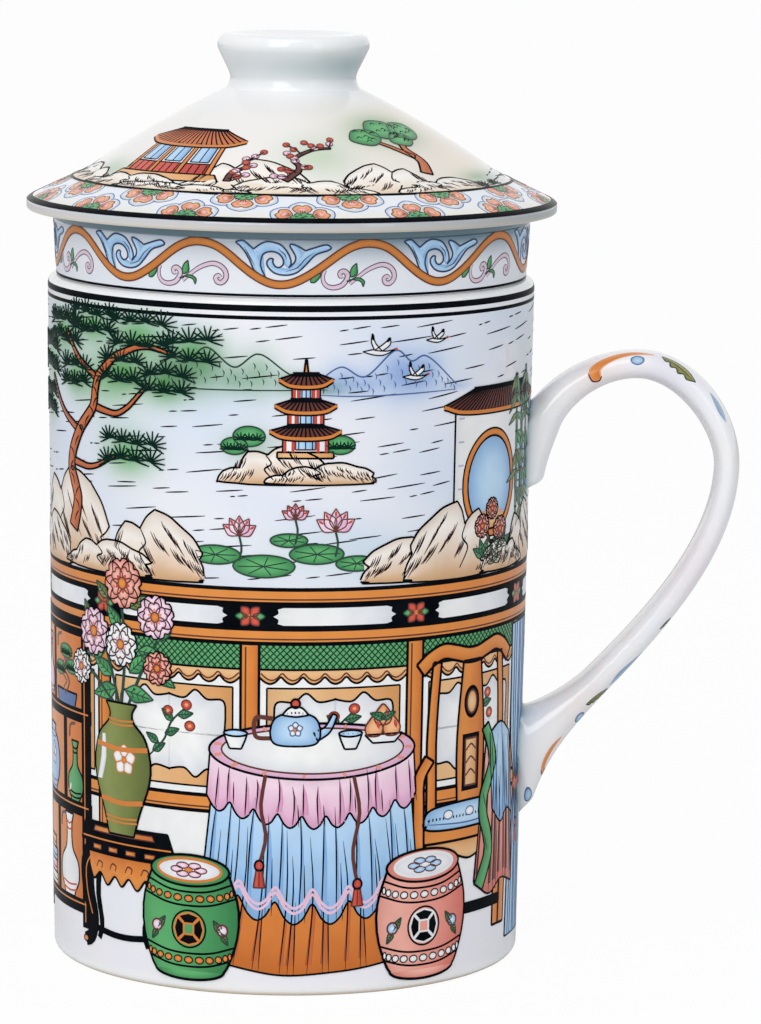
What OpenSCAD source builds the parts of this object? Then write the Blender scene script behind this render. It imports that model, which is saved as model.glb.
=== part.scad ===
// Porcelain tea mug with a drop-in infuser and a lift-off lid.
// The foot stands on Z = 0, the mug's axis is Z, and the handle is on the +X side.
// Millimetres throughout.

/* [Mug] */
// Height of the mug from the foot to the rim
mug_h = 112.5; // [106:0.5:140]
// Outer radius of the mug at its rim
mug_top_r = 40; // [38:0.1:46]
// Outer radius of the mug at its foot
mug_foot_r = 38.6; // [36.5:0.1:44]
// Thickness of the mug's wall
mug_wall = 3.2; // [2.8:0.1:4.4]
// Thickness of the mug's floor above the foot recess
mug_floor = 4.2; // [3:0.1:8]
// Rounding of the rim's outer edge
rim_round = 1.5; // [0.8:0.1:1.7]
// Rounding of the rim's inner edge
rim_lip_round = 0.6; // [0.3:0.1:0.9]
// Rounding of the foot's outer edge
foot_round = 1.5; // [0.6:0.1:2.5]
// Width of the flat ring that the mug stands on
foot_ring_w = 3.2; // [2:0.1:6]
// Depth of the recess inside the foot ring
foot_recess = 1.8; // [0.8:0.1:3]
// Radius of the inside corner between floor and wall
bore_corner = 6; // [3:0.5:12]

/* [Handle] */
// How far the handle stands out from the mug's wall
handle_reach = 34.6; // [28:0.2:44]
// Depth of the handle's crest below the rim
handle_crest_drop = 11.5; // [6:0.5:16]
// Distance of the crest out from the wall
handle_crest_out = 17.4; // [13:0.2:20]
// Depth of the handle's widest point below its crest
handle_shoulder = 18.8; // [14:0.2:22]
// Depth of the upper pad's end below the crest
handle_pad_drop = 22; // [20:0.2:26]
// Depth below the crest of the middle of the straight lower run
handle_run_drop = 57; // [52:0.2:60]
// Distance of the middle of the straight lower run out from the wall
handle_run_out = 13.8; // [11:0.2:17]
// Depth of the lower root's tip below the crest
handle_tip_drop = 77.5; // [73.5:0.5:81.5]
// Thickness of the handle's strap
strap_t = 4.6; // [3.6:0.1:5.4]
// Width of the handle's strap
strap_w = 9.6; // [7:0.2:13]
// Width of the pads where the handle is luted to the wall
pad_w = 11.6; // [9:0.2:15]
// Thickness of the upper pad at its end
pad_t = 2.6; // [1.8:0.1:3.6]
// Height of the lower root on the wall
root_h = 18.4; // [15:0.2:21]

/* [Infuser] */
// Height of the collar between the mug's rim and the lid's seat
collar_h = 9.4; // [8:0.1:14]
// Distance of the collar's foot inside the rim's radius
collar_inset = 1.4; // [1:0.1:2]
// Outward flare of the collar from foot to top
collar_flare = 0.5; // [0:0.1:1]
// Thickness of the infuser's wall
infuser_wall = 2.8; // [2.2:0.1:3.2]
// Depth of the basket below the mug's rim
basket_depth = 56; // [40:0.5:70]
// Thickness of the basket's floor
basket_floor = 3; // [2.2:0.1:5]
// Radial gap between the basket and the mug's bore at the rim
basket_clear = 1; // [0.6:0.1:1.8]
// Radial gap between the basket's foot and the mug's bore
basket_low_clear = 1.7; // [1:0.1:3]
// Radius of the basket's lower outside corner
basket_corner = 5; // [3.5:0.5:8]
// Diameter of the strainer holes
hole_d = 2.6; // [1.8:0.1:3.4]
// Number of rings of holes round the centre hole of the basket's floor
floor_rings = 3; // [1:1:3]
// Distance between the rings of floor holes
ring_pitch = 7.2; // [5.5:0.1:7.8]
// Number of rows of holes in the basket's wall
wall_rows = 2; // [1:1:4]
// Height between the rows of wall holes
row_pitch = 7; // [4.5:0.1:8]
// Height of the lowest row of wall holes above the basket's underside
row_start = 10; // [9:0.5:14]
// Number of holes in each row
row_count = 18; // [8:1:24]

/* [Lid] */
// How far the lid's brim reaches out past the collar's top
brim_over = 4.4; // [2.5:0.1:6]
// Height of the brim's underside above the seat
brim_lift = 1.3; // [0.9:0.05:1.6]
// Height of the brim's upright edge
brim_edge_h = 1.9; // [1.6:0.05:2.3]
// Width of the flatter border round the brim
border_w = 10.3; // [7:0.1:12]
// Height that the lid climbs across that border
border_climb = 4.8; // [4:0.1:5.6]
// Height of the lid's crown above the seat
crown_h = 21.1; // [18:0.1:28]
// Thickness of the lid's wall
lid_wall = 3.2; // [2.6:0.1:4]
// Depth of the locating flange below the seat
flange_h = 4.6; // [3:0.1:5]
// Thickness of the locating flange
flange_t = 2.6; // [2:0.1:3.4]
// Radial gap between the locating flange and the collar
flange_clear = 0.7; // [0.4:0.1:1.2]

/* [Knob] */
// Radius of the knob's neck
knob_neck_r = 10.3; // [8:0.1:11.5]
// Radius of the knob's rim
knob_rim_r = 12.4; // [11.6:0.1:15]
// Height of the knob above the lid's crown
knob_h = 9; // [7:0.1:12]
// Spread of the knob's foot past its neck
knob_foot_spread = 0.9; // [0.4:0.1:1.4]
// Depth of the dish in the knob's top
knob_dish = 0.7; // [0.3:0.1:1.2]

/* [Hidden] */

$fn = 120;
hole_fn = 24;
cut = 1;                      // how far a cutting tool runs past a face
porcelain = "#EDF1F3";
porcelain_shade = "#E3EAEE";

// The mug's outer wall is a slight cone, and its bore follows the wall.
function wall_r(z) = mug_foot_r + (mug_top_r - mug_foot_r) * z / mug_h;
function bore_r(z) = wall_r(z) - mug_wall;
floor_z = foot_recess + mug_floor;

// Infuser: the collar stands on the rim and the basket hangs in the bore.
seat_z = mug_h + collar_h;
collar_foot_r = mug_top_r - collar_inset;
collar_top_r = collar_foot_r + collar_flare;
collar_bore_r = collar_foot_r - infuser_wall;
collar_edge = 0.45;           // softened edges of the collar
basket_top_r = bore_r(mug_h) - basket_clear;
basket_z = mug_h - basket_depth;
basket_low_r = min(bore_r(basket_z) - basket_low_clear, basket_top_r);   // it has to lift out
basket_taper = basket_top_r - basket_low_r;
shoulder_in_z = mug_h + collar_h - flange_h - 0.7;

// Lid: a low neck under its brim rests on the collar's top.
brim_r = collar_top_r + brim_over;
brim_low_z = seat_z + brim_lift;
brim_z = brim_low_z + brim_edge_h;
flange_r = collar_bore_r - flange_clear;
crown_z = seat_z + crown_h;
knob_foot_r = knob_neck_r + knob_foot_spread;
flange_edge = 0.6;            // rounding of the flange's lower edges
slope = 32;                   // steepness of the lid's cone in degrees

// Points of an arc about c, and of a cubic curve with four control points.
function arc(c, r, a0, a1, n = 6) =
    [for (i = [0:n]) let (a = a0 + (a1 - a0) * i / n) c + r * [cos(a), sin(a)]];
function cubic(p, t) =
    pow(1 - t, 3) * p[0] + 3 * pow(1 - t, 2) * t * p[1]
    + 3 * (1 - t) * t * t * p[2] + pow(t, 3) * p[3];
function curve(p, n) = [for (i = [0:n]) cubic(p, i / n)];

// ---------------------------------------------------------------- mug body

module mug_profile() {
    ring_out = wall_r(0) - foot_round;
    ring_in = ring_out - foot_ring_w;
    corner_z = floor_z + bore_corner;
    polygon(concat(
        [[0, foot_recess], [ring_in - foot_recess / 2, foot_recess], [ring_in, 0]],
        arc([wall_r(foot_round) - foot_round, foot_round], foot_round, -90, 0),
        arc([wall_r(mug_h - rim_round) - rim_round, mug_h - rim_round], rim_round, 0, 90),
        arc([bore_r(mug_h) + rim_lip_round, mug_h - rim_lip_round], rim_lip_round, 90, 180),
        arc([bore_r(corner_z) - bore_corner, corner_z], bore_corner, 0, -90, 8),
        [[0, floor_z]]));
}

module mug_body() {
    color(porcelain) rotate_extrude() mug_profile();
}

// ------------------------------------------------------------------ handle
// The strap is lofted between two side-view curves, an outer and an inner one.
// Each is a chain of cubic curves, given as [distance out from the wall, drop below the crest].
// Both ends run into the wall, and the wall's cone is then cut away.

crest_z = mug_h - handle_crest_drop;
root_in_drop = handle_tip_drop - root_h;      // where the inner curve meets the wall
run_dir = [0.66, 0.75];                       // direction of the straight lower run, in and down
run_norm = [-run_dir[1], -run_dir[0]];        // from the run's outer face to its inner face
sink = 2;                                     // how far the hidden side lies inside the wall
tip_proud = 2.4;                              // how far the lower tip stands proud of the wall
tip_end = 2.8;                                // length of the tip's rounded end
pad_end = 1.4;                                // length of the upper pad's rounded end
run_t = strap_t + 0.4;                        // the strap thickens down the run
spring_t = pad_t + 2.3;                       // and towards the pad, where it springs from the wall
spring_drop = 13;                             // height of that place below the crest
crest_pull = [8, 9.8];                        // level stretch of the crest, inward and outward
wide_pull = [8.6, 14];                        // upright stretch at the widest point, up and down
run_pull = [14.6, 8.4];                       // straight stretch of the lower run, up and down

crest_out = [handle_crest_out, 0];
crest_in = [handle_crest_out, strap_t];
wide_out = [handle_reach, handle_shoulder];
wide_in = [handle_reach - strap_t + 0.4, handle_shoulder];
run_out = [handle_run_out, handle_run_drop];
run_in = run_out + run_t * run_norm;
tip_start = [tip_proud, handle_tip_drop - tip_end];
pad_start = [pad_t, handle_pad_drop - pad_end];
hidden = [-sink, 0];
function below(drop) = [0, drop];

OUTER = [
    [for (up = [-0.6, 0, 0, 1]) hidden + below(handle_pad_drop - up)],
    [hidden + below(handle_pad_drop - 1), hidden + below(spring_drop + 4),
     hidden + below(spring_drop + 2), hidden + [0.4, spring_drop]],
    [hidden + [0.4, spring_drop], [0.2, spring_drop - 7.5], crest_out - [crest_pull[0], 0], crest_out],
    [crest_out, crest_out + [crest_pull[1], 0], wide_out - [0, wide_pull[0]], wide_out],
    [wide_out, wide_out + [0, wide_pull[1]],
     run_out + run_pull[0] * [run_dir[0] + 0.07, -run_dir[1] - 0.06], run_out],
    [run_out, run_out + run_pull[1] * [-run_dir[0], run_dir[1]], tip_start + [2.4, -7.2], tip_start],
    [tip_start, tip_start + [-0.5, 1.3], tip_start + [-1.4, tip_end - 0.6],
     hidden + below(handle_tip_drop + 0.6)]
];
INNER = [
    [hidden + [0.6, handle_pad_drop + 0.5], [pad_t - 1.2, handle_pad_drop + 0.5],
     [pad_t - 0.1, handle_pad_drop], pad_start],
    [pad_start, pad_start + [0.5, -2.6], [spring_t - 1.1, spring_drop + 3.2], [spring_t, spring_drop]],
    [[spring_t, spring_drop], [spring_t + 1.6, spring_drop - 4.2],
     crest_in - 0.7 * [crest_pull[0], 0], crest_in],
    [crest_in, crest_in + 0.67 * [crest_pull[1], 0], wide_in - 0.65 * [0, wide_pull[0]], wide_in],
    [wide_in, wide_in + 0.9 * [0, wide_pull[1]],
     run_in + 0.9 * run_pull[0] * [run_dir[0] + 0.04, -run_dir[1] + 0.02], run_in],
    [run_in, run_in + run_pull[1] / 2 * [-1, 0.9], [3.4, root_in_drop - 0.7],
     hidden + below(root_in_drop + 1.8)],
    [for (down = [1.8, 2, 2.4, 3]) hidden + below(root_in_drop + down)]
];
// Half width of the strap at the start and end of each stretch of the chains
HALF_W = [[0.3, 0.5], [0.5, 0.5], [0.5, 0], [0, 0], [0, 0], [0, 0.5], [0.5, 0.3]];
STEPS = [4, 6, 12, 12, 14, 12, 5];            // rings along each stretch
sides = 28;                                   // points round each ring
fullness = 2.4;                               // 2 is an ellipse, more is squarer

function strap_half(k, t) =
    let (mix = HALF_W[k][0] + (HALF_W[k][1] - HALF_W[k][0]) * (3 * t * t - 2 * t * t * t),
         open = k == 0 ? sqrt(1 - pow(1 - t, 2) * 0.6) : k == len(STEPS) - 1 ? sqrt(1 - 0.7 * t * t) : 1,
         share = k == 0 || k == len(STEPS) - 1 ? 1 : 2 * mix)
    open * (strap_w + (pad_w - strap_w) * share) / 2;
function place(p) = let (z = crest_z - p[1]) [wall_r(z) + p[0], z];
function full(c) = sign(c) * pow(abs(c), 2 / fullness);
function ring(k, t) =
    let (o = place(cubic(OUTER[k], t)), i = place(cubic(INNER[k], t)),
         mid = (o + i) / 2, half = (o - i) / 2, w = strap_half(k, t))
    [for (j = [0:sides - 1]) let (a = 360 * j / sides, c = full(cos(a)))
        [mid[0] + half[0] * c, w * full(sin(a)), mid[1] + half[1] * c]];

module handle_loft() {
    rings = concat([for (k = [0:len(STEPS) - 1], i = [0:STEPS[k] - 1]) ring(k, i / STEPS[k])],
                   [ring(len(STEPS) - 1, 1)]);
    last = len(rings) - 1;
    side_faces = [for (i = [0:last - 1], j = [0:sides - 1])
        let (a = i * sides + j, b = i * sides + (j + 1) % sides)
        each [[a, b, a + sides], [b, b + sides, a + sides]]];
    caps = [[for (j = [sides - 1:-1:0]) j], [for (j = [0:sides - 1]) last * sides + j]];
    polyhedron(points = [for (r = rings) each r], faces = concat(side_faces, caps), convexity = 6);
}

module handle() {
    color(porcelain_shade) difference() {
        handle_loft();
        rotate_extrude() polygon([[0, -cut], [wall_r(-cut), -cut],
            [wall_r(mug_h + cut), mug_h + cut], [0, mug_h + cut]]);
    }
}

// ----------------------------------------------------------------- infuser

function basket_out_r(z) =
    basket_low_r + basket_taper * (z - basket_z) / basket_depth;
function basket_in_r(z) = basket_out_r(z) - infuser_wall;

module infuser_profile() {
    in_floor_z = basket_z + basket_floor;
    in_corner = basket_corner - infuser_wall;
    ease = 1.6;                               // how softly the collar's bore steps in to the basket's
    step_z = mug_h - 0.5;
    polygon(concat(
        [[0, basket_z]],
        arc([basket_out_r(basket_z + basket_corner) - basket_corner, basket_z + basket_corner],
            basket_corner, -90, 0, 8),
        [[basket_top_r, mug_h], [collar_foot_r - collar_edge, mug_h]],
        arc([collar_foot_r - collar_edge, mug_h + collar_edge], collar_edge, -90, 0, 4),
        arc([collar_top_r - collar_edge, seat_z - collar_edge], collar_edge, 0, 90, 4),
        arc([collar_bore_r + collar_edge, seat_z - collar_edge], collar_edge, 90, 180, 4),
        curve([[collar_bore_r, shoulder_in_z], [collar_bore_r, shoulder_in_z - ease],
               [basket_in_r(step_z), step_z + ease], [basket_in_r(step_z), step_z]], 10),
        arc([basket_in_r(in_floor_z + in_corner) - in_corner, in_floor_z + in_corner],
            in_corner, 0, -90, 6),
        [[0, in_floor_z]]));
}

module floor_holes() {
    for (ring_no = [0:floor_rings], i = [0:max(6 * ring_no, 1) - 1])
        rotate(360 * i / max(6 * ring_no, 1))
            translate([ring_no * ring_pitch, 0, basket_z - cut])
                cylinder(d = hole_d, h = basket_floor + 2 * cut, $fn = hole_fn);
}

module wall_holes() {
    for (row = [0:wall_rows - 1], i = [0:row_count - 1])
        rotate(360 * (i + row % 2 / 2) / row_count)
            translate([basket_low_r - infuser_wall - 2 * cut, 0, basket_z + row_start + row * row_pitch])
                rotate([0, 90, 0])
                    cylinder(d = hole_d, h = infuser_wall + basket_taper + 4 * cut, $fn = hole_fn);
}

module infuser() {
    color(porcelain) difference() {
        rotate_extrude() infuser_profile();
        floor_holes();
        wall_holes();
    }
}

// --------------------------------------------------------------------- lid
// The outer face is a cone that eases into a flatter brim; the inner face runs parallel to it.

brim_round = 0.7;             // rounding of the brim's upper corner
brim_under_round = 0.5;       // rounding of its lower corner
brim_corner = [brim_r, brim_z] - brim_round * [1, 1];
brim_turn = 55;               // where the face meets the rounded corner, in degrees
brim_top = brim_corner + brim_round * [cos(brim_turn), sin(brim_turn)];
cone_low = [brim_r - border_w, brim_z + border_climb];
cone_top = [knob_foot_r + 0.2, crown_z - 0.1];
CONE = [cone_top, cone_top + [8.1, -3.9], cone_low + [-4.8, 3.5], cone_low];
BRIM = [cone_low, cone_low + [border_w, -border_climb * 1.07] / 2.9,
        brim_top + 1.5 * [-sin(brim_turn), cos(brim_turn)], brim_top];
function inward(p) = p - lid_wall * [sin(slope), cos(slope)];

module lid_profile() {
    neck_r = collar_top_r + 0.2;
    under = [brim_r, brim_low_z] + brim_under_round * [-1, 1];
    flange_in = flange_r - flange_t;
    flange_z = seat_z - flange_h;
    inner = [for (p = curve(CONE, 16)) if (inward(p)[0] < flange_in - 1) inward(p)];
    polygon(concat(
        [[0, crown_z], [knob_foot_r, crown_z]],
        curve(CONE, 16),
        [for (i = [1:8]) cubic(BRIM, i / 8)],
        arc(brim_corner, brim_round, brim_turn, 0, 4),
        arc(under, brim_under_round, 0, -90, 4),
        [[neck_r + 0.3, brim_low_z], [neck_r, seat_z], [flange_r, seat_z]],
        arc([flange_r - flange_edge, flange_z + flange_edge], flange_edge, 0, -90, 4),
        arc([flange_in + flange_edge, flange_z + flange_edge], flange_edge, -90, -180, 4),
        [[flange_in, inner[len(inner) - 1][1] - 2.2]],
        [for (i = [len(inner) - 1:-1:0]) inner[i]],
        [[0, inner[0][1] + 0.3]]));
}

module lid() {
    color(porcelain) rotate_extrude() lid_profile();
}

// -------------------------------------------------------------------- knob

module knob_profile() {
    top_z = crown_z + knob_h;
    foot_h = 1.9;                             // height of the flared foot
    rim_h = 2.3;                              // height of the rounded rim
    neck = [knob_neck_r, crown_z + foot_h];
    rim = [knob_rim_r, top_z - rim_h];
    polygon(concat(
        [[0, crown_z]],
        curve([[knob_foot_r, crown_z], [knob_foot_r - 0.5, crown_z + 0.3],
               neck - [0, 0.6], neck], 5),
        [for (i = [1:8]) cubic([neck, neck + [0, 0.8], rim - [0.7, 1.7], rim], i / 8)],
        [for (i = [1:6]) cubic([rim, rim + [0.2, 1.4], [knob_rim_r - 0.5, top_z],
                                [knob_rim_r - 1.6, top_z]], i / 6)],
        [for (i = [1:6]) cubic([[knob_rim_r - 1.6, top_z], [knob_rim_r - 3, top_z],
                                [knob_rim_r / 2, top_z - knob_dish], [0, top_z - knob_dish]], i / 6)]));
}

module lid_knob() {
    color(porcelain_shade) rotate_extrude() knob_profile();
}

mug_body();
handle();
infuser();
lid();
lid_knob();
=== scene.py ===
"""Looks of a lidded porcelain tea mug with a drop-in infuser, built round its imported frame.

Every surface is a grid of points worked out with numpy: a profile turned about the mug's axis,
a section carried along the handle, or a strip of enamel carried along a drawn line and laid on
one of those surfaces.  Drawn lines are given in millimetres, meshes are in metres.
"""
import math
import bpy
import numpy as np
from mathutils import Matrix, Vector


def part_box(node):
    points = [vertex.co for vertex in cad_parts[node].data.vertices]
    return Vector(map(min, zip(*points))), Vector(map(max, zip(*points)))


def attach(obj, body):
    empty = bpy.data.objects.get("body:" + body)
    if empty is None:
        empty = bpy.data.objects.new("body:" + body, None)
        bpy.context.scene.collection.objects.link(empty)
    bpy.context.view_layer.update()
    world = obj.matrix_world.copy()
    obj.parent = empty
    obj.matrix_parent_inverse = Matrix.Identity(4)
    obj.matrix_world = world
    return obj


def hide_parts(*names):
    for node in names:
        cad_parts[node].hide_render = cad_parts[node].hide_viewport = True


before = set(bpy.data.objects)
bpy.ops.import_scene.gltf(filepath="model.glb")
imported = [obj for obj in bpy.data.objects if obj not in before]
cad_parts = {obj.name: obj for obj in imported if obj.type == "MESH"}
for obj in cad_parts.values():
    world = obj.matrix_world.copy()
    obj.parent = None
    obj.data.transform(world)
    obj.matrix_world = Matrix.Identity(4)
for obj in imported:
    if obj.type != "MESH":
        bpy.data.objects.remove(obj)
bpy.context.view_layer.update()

MM = 0.001
TAU = 2 * math.pi

# ---- sizes, in millimetres

MUG_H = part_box("mug_body")[1][2] / MM
RIM_R = 40.0
FOOT_R = 38.6
WALL = 3.2
FLOOR_T = 4.2
RIM_ROUND, LIP_ROUND, FOOT_ROUND = 1.5, 0.6, 1.5
FOOT_RING_W, FOOT_RECESS = 3.2, 1.8
BORE_CORNER = 6.0

SEAT_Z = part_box("infuser")[1][2] / MM
COLLAR_FOOT_R = RIM_R - 1.4
COLLAR_TOP_R = COLLAR_FOOT_R + 0.5
INFUSER_WALL = 2.8
COLLAR_BORE_R = COLLAR_FOOT_R - INFUSER_WALL
COLLAR_EDGE = 0.45
BASKET_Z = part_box("infuser")[0][2] / MM
BASKET_FLOOR, BASKET_CORNER = 3.0, 5.0
BASKET_CLEAR, BASKET_LOW_CLEAR = 1.0, 1.7
HOLE_R, HOLE_SOFT = 1.3, 0.25
RING_PITCH, FLOOR_RINGS = 7.2, 3
ROW_START, ROW_PITCH, WALL_ROWS, ROW_COUNT = 10.0, 7.0, 2, 18

BRIM_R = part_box("lid")[1][0] / MM
BRIM_LOW_Z = SEAT_Z + 1.3
BRIM_Z = BRIM_LOW_Z + 1.9
BRIM_ROUND, BRIM_UNDER_ROUND, BRIM_TURN = 0.7, 0.5, 55
BORDER_W, BORDER_CLIMB = 10.3, 4.8
CROWN_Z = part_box("lid")[1][2] / MM
LID_WALL, LID_SLOPE = 3.2, math.radians(32)
FLANGE_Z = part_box("lid")[0][2] / MM
FLANGE_R = COLLAR_BORE_R - 0.7
FLANGE_T, FLANGE_EDGE = 2.6, 0.6

KNOB_NECK_R, KNOB_RIM_R = 10.3, 12.4
KNOB_FOOT_R = KNOB_NECK_R + 0.9
KNOB_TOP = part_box("lid_knob")[1][2] / MM
KNOB_DISH = 0.7

FRONT = math.radians(-86)       # azimuth of the middle of the front picture
TURN_STEPS = 360                # points round the mug and the lid
BASKET_STEPS = 144              # points round the infuser; a whole number in each hole's cell
KNOB_STEPS = 144                # points round the knob


def wall_r(z):
    """Outer radius of the mug at height z: a straight line from foot to rim."""
    return FOOT_R + (RIM_R - FOOT_R) * z / MUG_H


def bore_r(z):
    """Inner radius of the mug, one wall's thickness inside."""
    return wall_r(z) - WALL


# ---- curves

def arc(centre, radius, start, end, n=10):
    """Points centre + radius (cos a, sin a) for angles a from start to end, in degrees."""
    a = np.radians(np.linspace(start, end, n + 1))
    return np.stack([centre[0] + radius * np.cos(a), centre[1] + radius * np.sin(a)], 1)


def cubic(points, n=16):
    """Cubic Bezier curve: the four control points weighted by (1-t)^3, 3(1-t)^2 t, 3(1-t) t^2, t^3."""
    t = np.linspace(0, 1, n + 1)[:, None]
    p = np.asarray(points, float)
    return (1 - t) ** 3 * p[0] + 3 * (1 - t) ** 2 * t * p[1] + 3 * (1 - t) * t * t * p[2] + t ** 3 * p[3]


def line(start, end, n):
    """n evenly spaced steps of the straight line from start to end."""
    t = np.linspace(0, 1, n + 1)[:, None]
    return (1 - t) * np.asarray(start, float) + t * np.asarray(end, float)


def chain(*parts):
    """Joins curves end to end, leaving out the points that repeat."""
    points = np.concatenate([np.atleast_2d(np.asarray(p, float)) for p in parts])
    keep = np.r_[True, np.hypot(*np.diff(points, axis=0).T) > 1e-6]
    return points[keep]


def along(points):
    """Distance of each point of a curve from its start, measured along the curve."""
    return np.r_[0, np.cumsum(np.linalg.norm(np.diff(points, axis=0), axis=1))]


# ---- meshes

def grid_faces(rows, columns, wrap_rows=False, wrap_columns=False):
    """Four-cornered faces between neighbours of a rows x columns grid of points."""
    i, j = np.meshgrid(np.arange(rows - (not wrap_rows)), np.arange(columns - (not wrap_columns)),
                       indexing="ij")
    down, right = (i + 1) % rows, (j + 1) % columns
    corners = [i * columns + j, i * columns + right, down * columns + right, down * columns + j]
    return np.stack([c.ravel() for c in corners], 1)


def join(parts):
    """Puts (points, faces) pairs into one, with their face numbers moved on."""
    starts = np.cumsum([0] + [len(p) for p, _ in parts[:-1]])
    return (np.concatenate([p for p, _ in parts]),
            np.concatenate([f + s for (_, f), s in zip(parts, starts)]))


def weld(points, faces, group=None):
    """Merges points that lie within a tenth of a micron, in the same group where one is given."""
    key = np.round(points / 1e-7).astype(np.int64)
    if group is not None:
        key = np.c_[key, group]
    _, first, inverse = np.unique(key, axis=0, return_index=True, return_inverse=True)
    return points[first], inverse.ravel()[faces]


def mesh_piece(name, points, faces, material, sharp=35.0):
    """A Blender object from points and four-cornered faces; a face with a repeated corner is a triangle."""
    keep = faces != np.roll(faces, 1, axis=1)
    total = keep.sum(1)
    keep[total < 3] = False
    total = total[total >= 3]
    mesh = bpy.data.meshes.new(name)
    mesh.vertices.add(len(points))
    mesh.vertices.foreach_set("co", points.ravel())
    corners = faces[keep]
    mesh.loops.add(len(corners))
    mesh.loops.foreach_set("vertex_index", corners)
    mesh.polygons.add(len(total))
    mesh.polygons.foreach_set("loop_start", np.r_[0, np.cumsum(total)[:-1]])
    mesh.update(calc_edges=True)
    mesh.validate()
    mesh.shade_smooth()
    mesh.set_sharp_from_angle(angle=math.radians(sharp))
    mesh.materials.append(material)
    piece = bpy.data.objects.new(name, mesh)
    bpy.context.scene.collection.objects.link(piece)
    return piece


def volume(points, faces):
    """Six times the volume inside a closed mesh; it is negative when the faces look inward."""
    a, b, c, d = (points[faces[:, k]] for k in range(4))
    return np.einsum("ij,ij->", a, np.cross(b, c)) + np.einsum("ij,ij->", a, np.cross(c, d))


def solid_piece(name, parts, material):
    """Welds the parts of one closed surface and turns its faces outward."""
    points, faces = weld(*join(parts))
    if volume(points, faces) < 0:
        faces = faces[:, ::-1]
    return mesh_piece(name, points, faces, material)


def turned(profile, steps):
    """Turns a profile of (radius, height) about Z: (r cos a, r sin a, z) on a grid of r, z and a."""
    a = np.arange(steps) * TAU / steps
    r, z = profile[:, :1] * MM, profile[:, 1:] * MM
    points = np.stack([r * np.cos(a), r * np.sin(a), z + 0 * a], 2)
    return points.reshape(-1, 3), grid_faces(len(profile), steps, wrap_columns=True)


# ---- profiles of the turned pieces

def mug_profile():
    ring_out = wall_r(0) - FOOT_ROUND
    ring_in = ring_out - FOOT_RING_W
    corner_z = FOOT_RECESS + FLOOR_T + BORE_CORNER
    top_z = MUG_H - RIM_ROUND
    return chain(
        line((0, FOOT_RECESS), (ring_in - FOOT_RECESS / 2, FOOT_RECESS), 8),
        line((ring_in - FOOT_RECESS / 2, FOOT_RECESS), (ring_in, 0), 4),
        line((ring_in, 0), (ring_out, 0), 3),
        arc((wall_r(FOOT_ROUND) - FOOT_ROUND, FOOT_ROUND), FOOT_ROUND, -90, 0, 8),
        line((wall_r(FOOT_ROUND), FOOT_ROUND), (wall_r(top_z), top_z), 100),
        arc((wall_r(top_z) - RIM_ROUND, top_z), RIM_ROUND, 0, 90, 12),
        arc((bore_r(MUG_H) + LIP_ROUND, MUG_H - LIP_ROUND), LIP_ROUND, 90, 180, 8),
        line((bore_r(MUG_H), MUG_H - LIP_ROUND), (bore_r(corner_z), corner_z), 20),
        arc((bore_r(corner_z) - BORE_CORNER, corner_z), BORE_CORNER, 0, -90, 14),
        line((bore_r(corner_z) - BORE_CORNER, corner_z - BORE_CORNER), (0, corner_z - BORE_CORNER), 8))


CONE_TOP = np.array([KNOB_FOOT_R + 0.2, CROWN_Z - 0.1])
CONE_LOW = np.array([BRIM_R - BORDER_W, BRIM_Z + BORDER_CLIMB])
BRIM_CORNER = (BRIM_R - BRIM_ROUND, BRIM_Z - BRIM_ROUND)
BRIM_WAY = np.array([math.cos(math.radians(BRIM_TURN)), math.sin(math.radians(BRIM_TURN))])
BRIM_TOP = BRIM_CORNER + BRIM_ROUND * BRIM_WAY
CONE = np.array([CONE_TOP, CONE_TOP + (8.1, -3.9), CONE_LOW + (-4.8, 3.5), CONE_LOW])
BORDER = np.array([CONE_LOW, CONE_LOW + np.array([BORDER_W, -BORDER_CLIMB * 1.07]) / 2.9,
                   BRIM_TOP + 1.5 * BRIM_WAY[::-1] * (-1, 1), BRIM_TOP])


def lid_outside(n=60):
    """The lid's painted face, from under the knob over a cone and a border to the brim's upright edge."""
    return chain(cubic(CONE, n), cubic(BORDER, n // 2), arc(BRIM_CORNER, BRIM_ROUND, BRIM_TURN, 10, 6))


def lid_profile():
    flange_in = FLANGE_R - FLANGE_T
    inner = cubic(CONE, 30) - LID_WALL * np.array([math.sin(LID_SLOPE), math.cos(LID_SLOPE)])
    inner = inner[inner[:, 0] < flange_in - 1]
    return chain(
        line((0, CROWN_Z), (KNOB_FOOT_R, CROWN_Z), 4),
        lid_outside(),
        arc(BRIM_CORNER, BRIM_ROUND, 10, 0, 2),
        arc((BRIM_R - BRIM_UNDER_ROUND, BRIM_LOW_Z + BRIM_UNDER_ROUND), BRIM_UNDER_ROUND, 0, -90, 6),
        line((BRIM_R - BRIM_UNDER_ROUND, BRIM_LOW_Z), (COLLAR_TOP_R + 0.5, BRIM_LOW_Z), 5),
        [(COLLAR_TOP_R + 0.2, SEAT_Z)],
        line((COLLAR_TOP_R + 0.2, SEAT_Z), (FLANGE_R, SEAT_Z), 4),
        arc((FLANGE_R - FLANGE_EDGE, FLANGE_Z + FLANGE_EDGE), FLANGE_EDGE, 0, -90, 6),
        arc((flange_in + FLANGE_EDGE, FLANGE_Z + FLANGE_EDGE), FLANGE_EDGE, -90, -180, 6),
        [(flange_in, inner[-1, 1] - 2.2)], inner[::-1], [(0, inner[0, 1] + 0.3)])


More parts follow.
